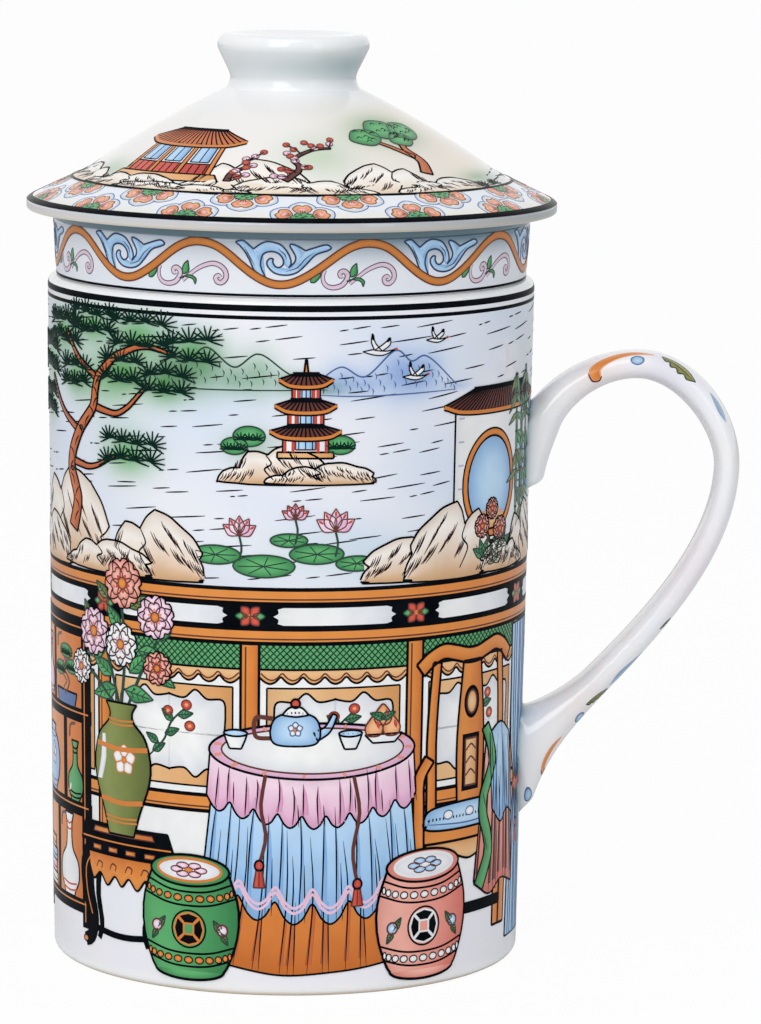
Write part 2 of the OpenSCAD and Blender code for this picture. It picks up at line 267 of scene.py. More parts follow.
def knob_profile():
    neck = np.array([KNOB_NECK_R, CROWN_Z + 1.9])
    rim = np.array([KNOB_RIM_R, KNOB_TOP - 2.3])
    flat = np.array([KNOB_RIM_R - 1.6, KNOB_TOP])
    return chain(line((0, CROWN_Z), (KNOB_FOOT_R, CROWN_Z), 3),
                 cubic([(KNOB_FOOT_R, CROWN_Z), (KNOB_FOOT_R - 0.5, CROWN_Z + 0.3), neck - (0, 0.6), neck],
                       8), cubic([neck, neck + (0, 0.8), rim - (0.7, 1.7), rim], 16),
                 cubic([rim, rim + (0.2, 1.4), (KNOB_RIM_R - 0.5, KNOB_TOP), flat], 12),
                 cubic([flat, flat - (1.4, 0), (KNOB_RIM_R / 2, KNOB_TOP - KNOB_DISH),
                        (0, KNOB_TOP - KNOB_DISH)], 12))


# ---- infuser

BASKET_TOP_R = bore_r(MUG_H) - BASKET_CLEAR
BASKET_LOW_R = bore_r(BASKET_Z) - BASKET_LOW_CLEAR
BASKET_FLOOR_TOP = BASKET_Z + BASKET_FLOOR
PIERCED_LOW = BASKET_Z + ROW_START - ROW_PITCH / 2
PIERCED_HIGH = PIERCED_LOW + ROW_PITCH * WALL_ROWS
PIERCED_R = RING_PITCH * (FLOOR_RINGS + 0.5)


def basket_r(z, inside=False):
    """Radius of the basket's wall at height z, a straight taper."""
    share = (z - BASKET_Z) / (MUG_H - BASKET_Z)
    return BASKET_LOW_R + (BASKET_TOP_R - BASKET_LOW_R) * share - INFUSER_WALL * inside


def cell_edge(half_width, half_height, across, up):
    """Points round a rectangle about the origin: across steps on the flat sides, up on the others."""
    x, y = np.linspace(-half_width, half_width, across + 1), np.linspace(-half_height, half_height, up + 1)
    return np.concatenate([np.stack([x[:-1], 0 * x[:-1] - half_height], 1),
                           np.stack([0 * y[:-1] + half_width, y[:-1]], 1),
                           np.stack([x[:0:-1], 0 * x[:0:-1] + half_height], 1),
                           np.stack([0 * y[:0:-1] - half_width, y[:0:-1]], 1)])


def patches(r, angle, z, turns, flip):
    """One ring-shaped patch of points (radius, angle, height), repeated at each of the turns."""
    r, angle, z = np.broadcast_arrays(r, angle, z)
    a = angle + turns[:, None, None]
    points = np.stack([r * np.cos(a), r * np.sin(a), z + 0 * a], -1)
    faces = grid_faces(*r.shape, wrap_columns=True)[:, ::1 if flip else -1]
    faces = faces + r.size * np.arange(len(turns))[:, None, None]
    return points.reshape(-1, 3) * MM, faces.reshape(-1, 4)


def pierced_wall(row, inside):
    """One row of the basket's wall, cells on a grid of angle and height, each with a round hole.

    A cell's sheet is (1-t) ring + t edge for t from 0 to 1; the hole's barrel runs to the wall's middle.
    """
    height = BASKET_Z + ROW_START + row * ROW_PITCH
    turns = (np.arange(ROW_COUNT) + row % 2 / 2) * TAU / ROW_COUNT
    radius, sign = basket_r(height, inside), 1 if inside else -1
    edge = cell_edge(math.pi / ROW_COUNT, ROW_PITCH / 2, BASKET_STEPS // ROW_COUNT, 4)
    bearing = np.arctan2(edge[:, 1] / (ROW_PITCH / 2), edge[:, 0] / (math.pi / ROW_COUNT))
    ring = np.stack([np.cos(bearing) / radius, np.sin(bearing)], 1) * (HOLE_R + HOLE_SOFT)
    t = np.linspace(0, 1, 4)[:, None, None]
    sheet = (1 - t) * ring + t * edge
    depth = sign * np.array([0.0, HOLE_SOFT, INFUSER_WALL / 2])[:, None]
    reach = HOLE_R + np.array([HOLE_SOFT, 0.0, 0.0])[:, None]
    up = height + reach * np.sin(bearing)
    level = height + sheet[..., 1]
    return [patches(basket_r(level, inside), sheet[..., 0], level, turns, inside),
            patches(basket_r(up, inside) + depth, reach * np.cos(bearing) / (radius + depth), up, turns,
                    not inside)]


def pierced_floor(ring_no, inside):
    """One ring of the basket's floor, flat cells between two circles, each with a round hole."""
    count = max(6 * ring_no, 1)
    middle = ring_no * RING_PITCH
    if ring_no:
        edge = cell_edge(math.pi / count, RING_PITCH / 2, BASKET_STEPS // count, 4)
        radius = middle + edge[:, 1]
        rim = np.stack([radius * np.cos(edge[:, 0]) - middle, radius * np.sin(edge[:, 0])], 1)
    else:
        rim = arc((0, 0), RING_PITCH / 2, 0, -360, BASKET_STEPS)[:-1]
    bearing = np.arctan2(rim[:, 1], rim[:, 0])
    unit = np.stack([np.cos(bearing), np.sin(bearing)], 1)
    turns = np.arange(count) * TAU / count
    z, sign = (BASKET_FLOOR_TOP, -1) if inside else (BASKET_Z, 1)
    t = np.linspace(0, 1, 4)[:, None, None]
    flat = (1 - t) * unit * (HOLE_R + HOLE_SOFT) + t * rim
    barrel = unit * (HOLE_R + np.array([HOLE_SOFT, 0.0, 0.0])[:, None, None])
    depth = np.array([0.0, HOLE_SOFT, BASKET_FLOOR / 2])[:, None]
    parts = []
    for local, height, turned_over in ((flat, z, inside), (barrel, z + sign * depth, not inside)):
        x = local[..., 0] + middle
        parts.append(patches(np.hypot(x, local[..., 1]), np.arctan2(local[..., 1], x), height, turns,
                             turned_over))
    return parts


def infuser_parts():
    """Collar, shoulder and basket, closed through every strainer hole."""
    low = []
    for floor_z, corner, inner, steps in ((BASKET_Z, BASKET_CORNER, False, 10),
                                          (BASKET_FLOOR_TOP, BASKET_CORNER - INFUSER_WALL, True, 8)):
        middle = (basket_r(floor_z + corner, inner) - corner, floor_z + corner)
        low.append(chain(line((PIERCED_R, floor_z), (middle[0], floor_z), 2),
                         arc(middle, corner, -90, 0, steps),
                         [(basket_r(PIERCED_LOW, inner), PIERCED_LOW)]))
    ease, step_z = 1.6, MUG_H - 0.5
    shoulder_z = FLANGE_Z - 0.7
    upper = chain(
        line((basket_r(PIERCED_HIGH), PIERCED_HIGH), (BASKET_TOP_R, MUG_H), 10),
        line((BASKET_TOP_R, MUG_H), (COLLAR_FOOT_R - COLLAR_EDGE, MUG_H), 3),
        arc((COLLAR_FOOT_R - COLLAR_EDGE, MUG_H + COLLAR_EDGE), COLLAR_EDGE, -90, 0, 6),
        line((COLLAR_FOOT_R, MUG_H + COLLAR_EDGE), (COLLAR_TOP_R, SEAT_Z - COLLAR_EDGE), 12),
        arc((COLLAR_TOP_R - COLLAR_EDGE, SEAT_Z - COLLAR_EDGE), COLLAR_EDGE, 0, 90, 6),
        arc((COLLAR_BORE_R + COLLAR_EDGE, SEAT_Z - COLLAR_EDGE), COLLAR_EDGE, 90, 180, 6),
        line((COLLAR_BORE_R, SEAT_Z - COLLAR_EDGE), (COLLAR_BORE_R, shoulder_z), 5),
        cubic([(COLLAR_BORE_R, shoulder_z), (COLLAR_BORE_R, shoulder_z - ease),
               (basket_r(step_z, True), step_z + ease), (basket_r(step_z, True), step_z)], 14),
        line((basket_r(step_z, True), step_z), (basket_r(PIERCED_HIGH, True), PIERCED_HIGH), 10))
    parts = [turned(profile, BASKET_STEPS) for profile in (low[0], low[1][::-1], upper)]
    for inner_side in (False, True):
        for row in range(WALL_ROWS):
            parts += pierced_wall(row, inner_side)
        for ring_no in range(FLOOR_RINGS + 1):
            parts += pierced_floor(ring_no, inner_side)
    return parts


# ---- handle
# The strap is carried between an outer and an inner side-view curve.  Each curve is a chain of
# cubics whose points are [distance out from the wall, drop below the crest].

CREST_Z = MUG_H - 11.5
STRAP_T, STRAP_W, PAD_W, PAD_T = 4.6, 9.6, 11.6, 2.6
PAD_DROP, RUN_DROP, TIP_DROP, ROOT_H = 22.0, 57.0, 77.5, 18.4
CREST_OUT, REACH, SHOULDER, RUN_OUT = 17.4, 34.6, 18.8, 13.8
RUN_DIR = np.array([0.66, 0.75])
SINK, TIP_PROUD, TIP_END, PAD_END = 2.0, 2.4, 2.8, 1.4
SPRING_T, SPRING_DROP = PAD_T + 2.3, 13.0
CREST_PULL, WIDE_PULL, RUN_PULL = (8.0, 9.8), (8.6, 14.0), (14.6, 8.4)
FULLNESS = 2.4
HALF_W = [(1, 1), (1, 1), (1, 0), (0, 0), (0, 0), (0, 1), (1, 1)]
HANDLE_STEPS = [8, 16, 40, 40, 44, 40, 12]
HANDLE_SIDES = 72
FILLET, FILLET_REACH = 0.5, 0.6


def handle_chains():
    """Control points of the outer and the inner curve, stretch by stretch."""
    crest_out, crest_in = np.array([CREST_OUT, 0.0]), np.array([CREST_OUT, STRAP_T])
    wide_out, wide_in = np.array([REACH, SHOULDER]), np.array([REACH - STRAP_T + 0.4, SHOULDER])
    run_out = np.array([RUN_OUT, RUN_DROP])
    run_in = run_out - (STRAP_T + 0.4) * RUN_DIR[::-1]
    tip = np.array([TIP_PROUD, TIP_DROP - TIP_END])
    pad = np.array([PAD_T, PAD_DROP - PAD_END])
    root = TIP_DROP - ROOT_H
    spring = np.array([SPRING_T, SPRING_DROP])
    back, up = np.array([-RUN_DIR[0], RUN_DIR[1]]), np.array([RUN_DIR[0], -RUN_DIR[1]])
    outer = [
        [(-SINK, PAD_DROP - k) for k in (-0.6, 0, 0, 1)],
        [(-SINK, PAD_DROP - 1), (-SINK, SPRING_DROP + 4), (-SINK, SPRING_DROP + 2),
         (0.4 - SINK, SPRING_DROP)],
        [(0.4 - SINK, SPRING_DROP), (0.2, SPRING_DROP - 7.5), crest_out - (CREST_PULL[0], 0), crest_out],
        [crest_out, crest_out + (CREST_PULL[1], 0), wide_out - (0, WIDE_PULL[0]), wide_out],
        [wide_out, wide_out + (0, WIDE_PULL[1]), run_out + RUN_PULL[0] * (up + (0.07, -0.06)), run_out],
        [run_out, run_out + RUN_PULL[1] * back, tip + (2.4, -7.2), tip],
        [tip, tip + (-0.5, 1.3), tip + (-1.4, TIP_END - 0.6), (-SINK, TIP_DROP + 0.6)]]
    inner = [
        [(0.6 - SINK, PAD_DROP + 0.5), (PAD_T - 1.2, PAD_DROP + 0.5), (PAD_T - 0.1, PAD_DROP), pad],
        [pad, pad + (0.5, -2.6), spring + (-1.1, 3.2), spring],
        [spring, spring + (1.6, -4.2), crest_in - (0.7 * CREST_PULL[0], 0), crest_in],
        [crest_in, crest_in + (0.67 * CREST_PULL[1], 0), wide_in - (0, 0.65 * WIDE_PULL[0]), wide_in],
        [wide_in, wide_in + (0, 0.9 * WIDE_PULL[1]), run_in + 0.9 * RUN_PULL[0] * (up + (0.04, 0.02)),
         run_in],
        [run_in, run_in + RUN_PULL[1] / 2 * np.array([-1, 0.9]), (3.4, root - 0.7), (-SINK, root + 1.8)],
        [(-SINK, root + k) for k in (1.8, 2, 2.4, 3)]]
    return outer, inner


def handle_grid():
    """Rings of the strap: middle + half (cos a)^(2/f) + width (sin a)^(2/f), flared by the wall.

    half runs from the middle to the outer curve, width runs along Y, and f squares the section.
    """
    outer, inner = handle_chains()
    rows_out, rows_in, widths = [], [], []
    last = len(HANDLE_STEPS) - 1
    for k, steps in enumerate(HANDLE_STEPS):
        cut = steps + 1 if k == last else steps
        t = np.linspace(0, 1, steps + 1)
        rows_out.append(cubic(outer[k], steps)[:cut])
        rows_in.append(cubic(inner[k], steps)[:cut])
        pad = HALF_W[k][0] + (HALF_W[k][1] - HALF_W[k][0]) * (3 * t * t - 2 * t ** 3)
        ends = np.sqrt(1 - 0.6 * (1 - t) ** 2) if k == 0 else np.sqrt(1 - 0.7 * t * t) if k == last else 1
        widths.append((ends * (STRAP_W + (PAD_W - STRAP_W) * pad) / 2 + 0 * t)[:cut])
    sides = []
    for rows in (rows_out, rows_in):
        p = np.concatenate(rows)
        z = CREST_Z - p[:, 1]
        sides.append(np.stack([wall_r(z) + p[:, 0], z], 1))
    middle, half = (sides[0] + sides[1]) / 2, (sides[0] - sides[1]) / 2
    a = np.arange(HANDLE_SIDES) * TAU / HANDLE_SIDES
    c = np.sign(np.cos(a)) * np.abs(np.cos(a)) ** (2 / FULLNESS)
    s = np.sign(np.sin(a)) * np.abs(np.sin(a)) ** (2 / FULLNESS)
    points = np.stack([middle[:, :1] + half[:, :1] * c, np.concatenate(widths)[:, None] * s,
                       middle[:, 1:] + half[:, 1:] * c], 2)
    ahead = np.gradient(points, axis=0)
    across = np.roll(points, -1, 1) - np.roll(points, 1, 1)
    normal = np.cross(across, ahead)
    normal /= np.linalg.norm(normal, axis=2, keepdims=True) + 1e-12
    outward = points - np.stack([middle[:, 0], 0 * middle[:, 0], middle[:, 1]], 1)[:, None]
    normal *= np.sign((normal * outward).sum(2, keepdims=True) + 1e-12)
    gap = np.hypot(points[..., 0], points[..., 1]) - wall_r(points[..., 2])
    points = points + normal * (FILLET * np.exp(-np.maximum(gap, 0) / FILLET_REACH))[..., None]
    radial = np.hypot(points[..., 0], points[..., 1])
    sunk = wall_r(points[..., 2]) - 0.1
    scale = np.maximum(sunk / radial, 1)
    points[..., 0] *= scale
    points[..., 1] *= scale
    return points, normal


def handle_parts():
    """The strap's rings and a fan of faces at each end."""
    points, _ = handle_grid()
    rows, sides = points.shape[:2]
    flat = points.reshape(-1, 3) * MM
    parts = [(flat, grid_faces(rows, sides, wrap_columns=True))]
    for row in (0, rows - 1):
        ring = points[row]
        cap = np.stack([ring, np.broadcast_to(ring.mean(0), ring.shape)]).reshape(-1, 3) * MM
        parts.append((cap, grid_faces(2, sides, wrap_columns=True)[:, ::-1 if row == 0 else 1]))
    return parts


# ---- materials

def linear(code):
    """The scene-linear colour of a six-figure display colour."""
    c = np.array([int(code[k:k + 2], 16) for k in (0, 2, 4)]) / 255
    return tuple(np.where(c <= 0.04045, c / 12.92, ((c + 0.055) / 1.055) ** 2.4)) + (1.0,)


def new_group(name, inputs, outputs):
    """An empty shader node group with the named inputs (name: kind, default) and outputs (name: kind)."""
    group = bpy.data.node_groups.new(name, "ShaderNodeTree")
    for label, (kind, default) in inputs.items():
        socket = group.interface.new_socket(label, in_out="INPUT", socket_type="NodeSocket" + kind)
        socket.default_value = default
    for label, kind in outputs.items():
        group.interface.new_socket(label, in_out="OUTPUT", socket_type="NodeSocket" + kind)
    return group, group.nodes.new("NodeGroupInput"), group.nodes.new("NodeGroupOutput")


def ranged(nodes, links, value, low, high, to_low, to_high):
    """Maps value from low..high to to_low..to_high."""
    node = nodes.new("ShaderNodeMapRange")
    for label, number in zip(("From Min", "From Max", "To Min", "To Max"), (low, high, to_low, to_high)):
        node.inputs[label].default_value = number
    links.new(value, node.inputs["Value"])
    return node.outputs["Result"]


MIX_A, MIX_B, MIX_OUT = 6, 7, 2      # places of a Mix node's colour sockets


def mixed(nodes, links, factor, a, b, blend="MIX"):
    """Blends colour a into colour b by the factor; each is a socket or a value."""
    node = nodes.new("ShaderNodeMix")
    node.data_type = "RGBA"
    node.blend_type = blend
    for socket, value in ((node.inputs["Factor"], factor), (node.inputs[MIX_A], a),
                          (node.inputs[MIX_B], b)):
        if isinstance(value, (tuple, float)):
            socket.default_value = value
        else:
            links.new(value, socket)
    return node.outputs[MIX_OUT]


def attribute(nodes, name):
    """What a node gives that reads one of the mesh's own attributes."""
    node = nodes.new("ShaderNodeAttribute")
    node.attribute_name = name
    return node.outputs


def counted(nodes, links, operation, *values):
    """Arithmetic on sockets and numbers."""
    node = nodes.new("ShaderNodeMath")
    node.operation = operation
    for socket, value in zip(node.inputs, values):
        if isinstance(value, float):
            socket.default_value = value
        else:
            links.new(value, socket)
    return node.outputs[0]


def fired_surface():
    """Group: the unevenness of a fired, glazed surface, as a slow tone, fine specks and a height."""
    group, source, sink = new_group(
        "fired_surface", {"Tone scale": ("Float", 60.0), "Speck scale": ("Float", 900.0)},
        {"Tone": "Float", "Specks": "Float", "Height": "Float"})
    nodes, links = group.nodes, group.links
    where = nodes.new("ShaderNodeTexCoord").outputs["Object"]
    slow = nodes.new("ShaderNodeTexNoise")
    slow.inputs["Detail"].default_value = 2.0
    fine = nodes.new("ShaderNodeTexNoise")
    fine.inputs["Detail"].default_value = 1.0
    for node, label in ((slow, "Tone scale"), (fine, "Speck scale")):
        links.new(where, node.inputs["Vector"])
        links.new(source.outputs[label], node.inputs["Scale"])
    links.new(ranged(nodes, links, slow.outputs["Fac"], 0.35, 0.65, 0.0, 1.0), sink.inputs["Tone"])
    links.new(ranged(nodes, links, fine.outputs["Fac"], 0.62, 0.75, 0.0, 1.0), sink.inputs["Specks"])
    height = counted(nodes, links, "MULTIPLY_ADD", fine.outputs["Fac"], 0.08, slow.outputs["Fac"])
    links.new(height, sink.inputs["Height"])
    return group


FIRED = fired_surface()


def new_material(name, roughness, coat=0.0, specular=0.5):
    """A node material with its Principled shader and plain values on the sockets."""
    material = bpy.data.materials.new(name)
    material.use_nodes = True
    nodes, links = material.node_tree.nodes, material.node_tree.links
    shader = nodes["Principled BSDF"]
    shader.inputs["Roughness"].default_value = roughness
    shader.inputs["Coat Weight"].default_value = coat
    shader.inputs["Coat Roughness"].default_value = 0.05
    shader.inputs["Specular IOR Level"].default_value = specular
    return material, nodes, links, shader


def fired(nodes, links, shader, bump, tone_scale=60.0):
    """Places the fired surface group, with its height on the shader's normal."""
    group = nodes.new("ShaderNodeGroup")
    group.node_tree = FIRED
    group.inputs["Tone scale"].default_value = tone_scale
    node = nodes.new("ShaderNodeBump")
    node.inputs["Strength"].default_value = 1.0
    node.inputs["Distance"].default_value = bump
    links.new(group.outputs["Height"], node.inputs["Height"])
    links.new(node.outputs["Normal"], shader.inputs["Normal"])
    return group


# The third colour, a teal, marks glaze gathered at the handle's roots with painted shade there, and painted
# shade on the knob's neck.
GLAZE_WHITE, GLAZE_COOL, GLAZE_POOL_AND_SHADE = linear("F5F4F4"), linear("F0F2F5"), linear("7C9FA6")


def glaze(name, washed=False, tinted_for_pool_and_shade=False):
    """Clear glaze over white porcelain, a little bluer where it lies thick, and teal where glaze gathers
    and where shade is painted.

    washed multiplies in the soft painted washes and painted shade kept in the mesh's own attribute; the
    other flag turns the glaze teal by a share kept in the mesh: gathered glaze with painted shade at the
    handle's roots, painted shade on the knob's neck.
    """
    material, nodes, links, shader = new_material(name, 0.09, coat=0.25)
    group = fired(nodes, links, shader, 0.00006)
    colour = mixed(nodes, links, group.outputs["Tone"], GLAZE_WHITE, GLAZE_COOL)
    if tinted_for_pool_and_shade:
        colour = mixed(nodes, links, attribute(nodes, "pool_and_shade")["Fac"], colour, GLAZE_POOL_AND_SHADE)
    if washed:
        colour = mixed(nodes, links, 1.0, colour, attribute(nodes, "wash")["Color"], "MULTIPLY")
    links.new(colour, shader.inputs["Base Color"])
    return material


def set_attribute(piece, name, values):
    """Stores one number or one colour per point of the mesh."""
    kind, field = ("FLOAT", "value") if values.ndim == 1 else ("FLOAT_COLOR", "color")
    attribute = piece.data.attributes.new(name, kind, "POINT")
    attribute.data.foreach_set(field, values.astype(np.float32).ravel())


def points_of(piece):
    """The mesh's points in millimetres."""
    co = np.empty(len(piece.data.vertices) * 3)
    piece.data.vertices.foreach_get("co", co)
    return co.reshape(-1, 3) / MM


# ---- the pieces

def dress(piece, body, slot_name, *nodes):
    """Puts a piece on its body and hides the CAD nodes it stands for; slot_name is not used."""
    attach(piece, body)
    if nodes:
        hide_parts(*nodes)
    return piece


def porcelain(name, parts, body, node, washed=True, tinted_for_pool_and_shade=False):
    """One glazed piece, named for its part, in place of its CAD node."""
    piece = solid_piece(name + "_porcelain", parts, glaze(name + "_glaze", washed, tinted_for_pool_and_shade))
    return dress(piece, body, "glazed_porcelain", node)


def pool_and_shade_at_roots(points):
    """How much glaze has gathered by the wall, with painted shade where the strap meets it: exp(-gap /
    reach), which reaches further at the lower root.
    """
    x, y, z = points.T
    gap = np.hypot(x, y) - wall_r(z)
    return np.exp(-np.maximum(gap, 0) / np.where(z > 70, 0.55, 0.65))


def painted_shade_on_neck(points):
    """Share of painted shade on the knob's neck, the shade under its rim: exp(-((z - middle) / reach)^2),
    more on the right.
    """
    x, y, z = points.T
    shaded = 0.45 + 0.25 * np.sin(np.arctan2(y, x) - FRONT)
    return shaded * np.exp(-((z - CROWN_Z - 4.2) / 2.6) ** 2)


mug = porcelain("mug", [turned(mug_profile(), TURN_STEPS)], "mug", "mug_body")
handle = porcelain("handle", handle_parts(), "mug", "handle", tinted_for_pool_and_shade=True)
# glaze gathered where the strap meets the wall, with painted shade there, kept as the share by which the
# glaze turns teal
set_attribute(handle, "pool_and_shade", pool_and_shade_at_roots(points_of(handle)))
infuser = porcelain("infuser", infuser_parts(), "infuser_basket", "infuser")
lid = porcelain("lid", [turned(lid_profile(), TURN_STEPS)], "lid_assembly", "lid")
knob = porcelain("knob", [turned(knob_profile(), KNOB_STEPS)], "lid_assembly", "lid_knob", washed=False,
                 tinted_for_pool_and_shade=True)
# painted shade on the knob's neck, kept as the share by which its glaze turns teal
set_attribute(knob, "pool_and_shade", painted_shade_on_neck(points_of(knob)))


# ---- surfaces that carry enamel
# Each takes distances across and up, and a height above the glaze, in millimetres.

def ring_point(angle, r, z):
    """Points at an angle, a radius and a height."""
    return np.stack([r * np.cos(angle), r * np.sin(angle), z], -1)


def on_mug(u, v, h):
    """Wall of the mug: u round it from the front's middle, v up the wall and over the rim's rounding."""
    bend = np.clip((v - (MUG_H - RIM_ROUND)) / RIM_ROUND, 0, 1.5)
    top = MUG_H - RIM_ROUND
    level = np.minimum(v, top)
    r = wall_r(level) - RIM_ROUND * (1 - np.cos(bend)) + h * np.cos(bend)
    return ring_point(FRONT + u / RIM_R, r, level + (RIM_ROUND + h) * np.sin(bend))


def on_collar(u, v, h):
    """Collar of the infuser: u round the collar, v its height above the table."""
    share = (v - MUG_H - COLLAR_EDGE) / (SEAT_Z - MUG_H - 2 * COLLAR_EDGE)
    return ring_point(FRONT + u / COLLAR_TOP_R, COLLAR_FOOT_R + (COLLAR_TOP_R - COLLAR_FOOT_R) * share + h,
                      v)


def lid_surface(reference):
    """Face of the lid: u is an arc at the reference radius, v climbs the face from the brim."""
    face = lid_outside(120)[::-1]
    climb = along(face)
    slope = np.gradient(face, axis=0)
    slope /= np.linalg.norm(slope, axis=1, keepdims=True)

    def surface(u, v, h):
        r, z, dr, dz = (np.interp(v, climb, column) for column in (*face.T, *slope.T))
        return ring_point(FRONT + u / reference, r + dz * h, z - dr * h)
    return surface


STRAP, STRAP_NORMAL = handle_grid()
STRAP_WAY = along(STRAP[:, 0])
STRAP_CREST = STRAP_WAY[np.argmax(STRAP[:, 0, 2])]


def on_handle(u, v, h):
    """Outer face of the strap: u along it from the crest, v across it, taken between the grid's points."""
    row = np.interp(u + STRAP_CREST, STRAP_WAY, np.arange(len(STRAP_WAY)))
    column = v / PAD_W * HANDLE_SIDES / 2
    i, j = np.floor(row).astype(int), np.floor(column).astype(int)
    i = np.clip(i, 0, len(STRAP_WAY) - 2)
    a, b = (row - i)[:, None], (column - j)[:, None]
    j, k = j % HANDLE_SIDES, (j + 1) % HANDLE_SIDES

    def between(grid):
        return ((1 - a) * ((1 - b) * grid[i, j] + b * grid[i, k])
                + a * ((1 - b) * grid[i + 1, j] + b * grid[i + 1, k]))
    return between(STRAP) + between(STRAP_NORMAL) * h[:, None]


# ---- enamel

# Each colour, and after a stroke the colour it shades into towards the second edge of a fill
PALETTE = {"ink": "05090F", "brown": "5E2A20", "orange": "E29040/CC6E24", "amber": "D5893F/C2702A",
           "tan": "EABF8C/D99A5C", "blue": "BEDCF4/86B4E2", "mid_blue": "8DB9E6/6E9FD8",
           "deep_blue": "46689A", "navy": "24385E", "pink": "F4DDE8/DFA6C8", "mid_pink": "E3A9CB/CF86AE",
           "mauve": "E6D3E0/D8BFD2", "plum": "5B3A52", "halo": "E6EDF6/C3D3E8", "salmon": "F0B4A4/D97466",
           "red": "D65540/B23226", "green": "5DAF6C/2F8048", "dark_green": "17402F",
           "olive": "8A9450/5F6B2E", "moss": "A9A35C/6F6C34", "mist": "A9C6E0/7FA3C6",
           "white": "F2F2F0/E2E4EA", "lilac": "B7B6CC", "peach": "F0B888/E08A54", "bark": "CC7038/A94E20",
           "rock": "F8F6F2/D6A878", "pale_rock": "FAF8F5/E6CFB2", "needle": "0B2A22"}
LINE = 0.33                      # width of a drawn line
FILL_LIFT, LEVEL_STEP = 0.010, 0.030   # height of a fill, and of each level above the one below
LINE_LIFT = 0.009                # lines lie on top of a fill
TWIN_STEP, TWINS = 0.0004, 5     # neighbours of one colour differ in height by this step, in turns of five
BED = -0.02                      # the enamel's underside lies in the glaze
GRAIN = np.array([0.8, 4.0])     # longest face of a shell across and up a surface that bends only across


def dense(points, closed=False, bend=True):
    """A fine curve through the points (Catmull-Rom), or the straight lines between them."""
    p = np.asarray(points, float)
    if closed:
        p = np.vstack([p, p[:1]])
    if not bend or len(p) < 3:
        t = np.linspace(0, 1, 13)[:-1, None, None]
        q = (1 - t) * p[:-1] + t * p[1:]
        return np.vstack([q.transpose(1, 0, 2).reshape(-1, 2), p[-1:]])
    ends = (p[-2:-1], p[1:2]) if closed else (2 * p[:1] - p[1:2], 2 * p[-1:] - p[-2:-1])
    q = np.vstack([ends[0], p, ends[1]])
    t = np.linspace(0, 1, 9)[:-1, None, None]
    a, b, c, d = q[:-3], q[1:-2], q[2:-1], q[3:]
    q = 0.5 * (2 * b + (c - a) * t + (2 * a - 5 * b + 4 * c - d) * t ** 2
               + (3 * b - a - 3 * c + d) * t ** 3)
    return np.vstack([q.transpose(1, 0, 2).reshape(-1, 2), p[-1:]])


def effort(p, grain, bend=0.4):
    """How many pieces each stretch of a curve needs, by its length and by how much it turns."""
    d = np.diff(p, axis=0)
    heading = np.arctan2(d[:, 1], d[:, 0])
    turn = np.abs((np.diff(heading) + math.pi) % TAU - math.pi) / bend / 2
    cost = np.hypot(*(d / grain).T)
    cost[1:] += turn
    cost[:-1] += turn
    return np.r_[0, np.cumsum(cost)]


def spaced(p, measure, n):
    """n points along a curve, evenly spaced by the given running measure."""
    want = np.linspace(0, measure[-1], n)
    return np.stack([np.interp(want, measure, p[:, k]) for k in (0, 1)], 1)


def evenly(points, n):
    """n points spread evenly along a curve through the given ones."""
    curve = dense(points)
    return spaced(curve, along(curve), n)


def strip_faces(rows, columns, closed):
    """Faces of a strip whose section runs over the top and back underneath, with its ends closed."""
    ring = 2 * columns
    faces = [grid_faces(rows, ring, wrap_rows=closed, wrap_columns=True)]
    if not closed:
        j = np.arange(columns - 1)
        cap = np.stack([j + 1, j, ring - 1 - j, ring - 2 - j], 1)
        faces += [cap, cap[:, ::-1] + (rows - 1) * ring]
    return np.concatenate(faces)


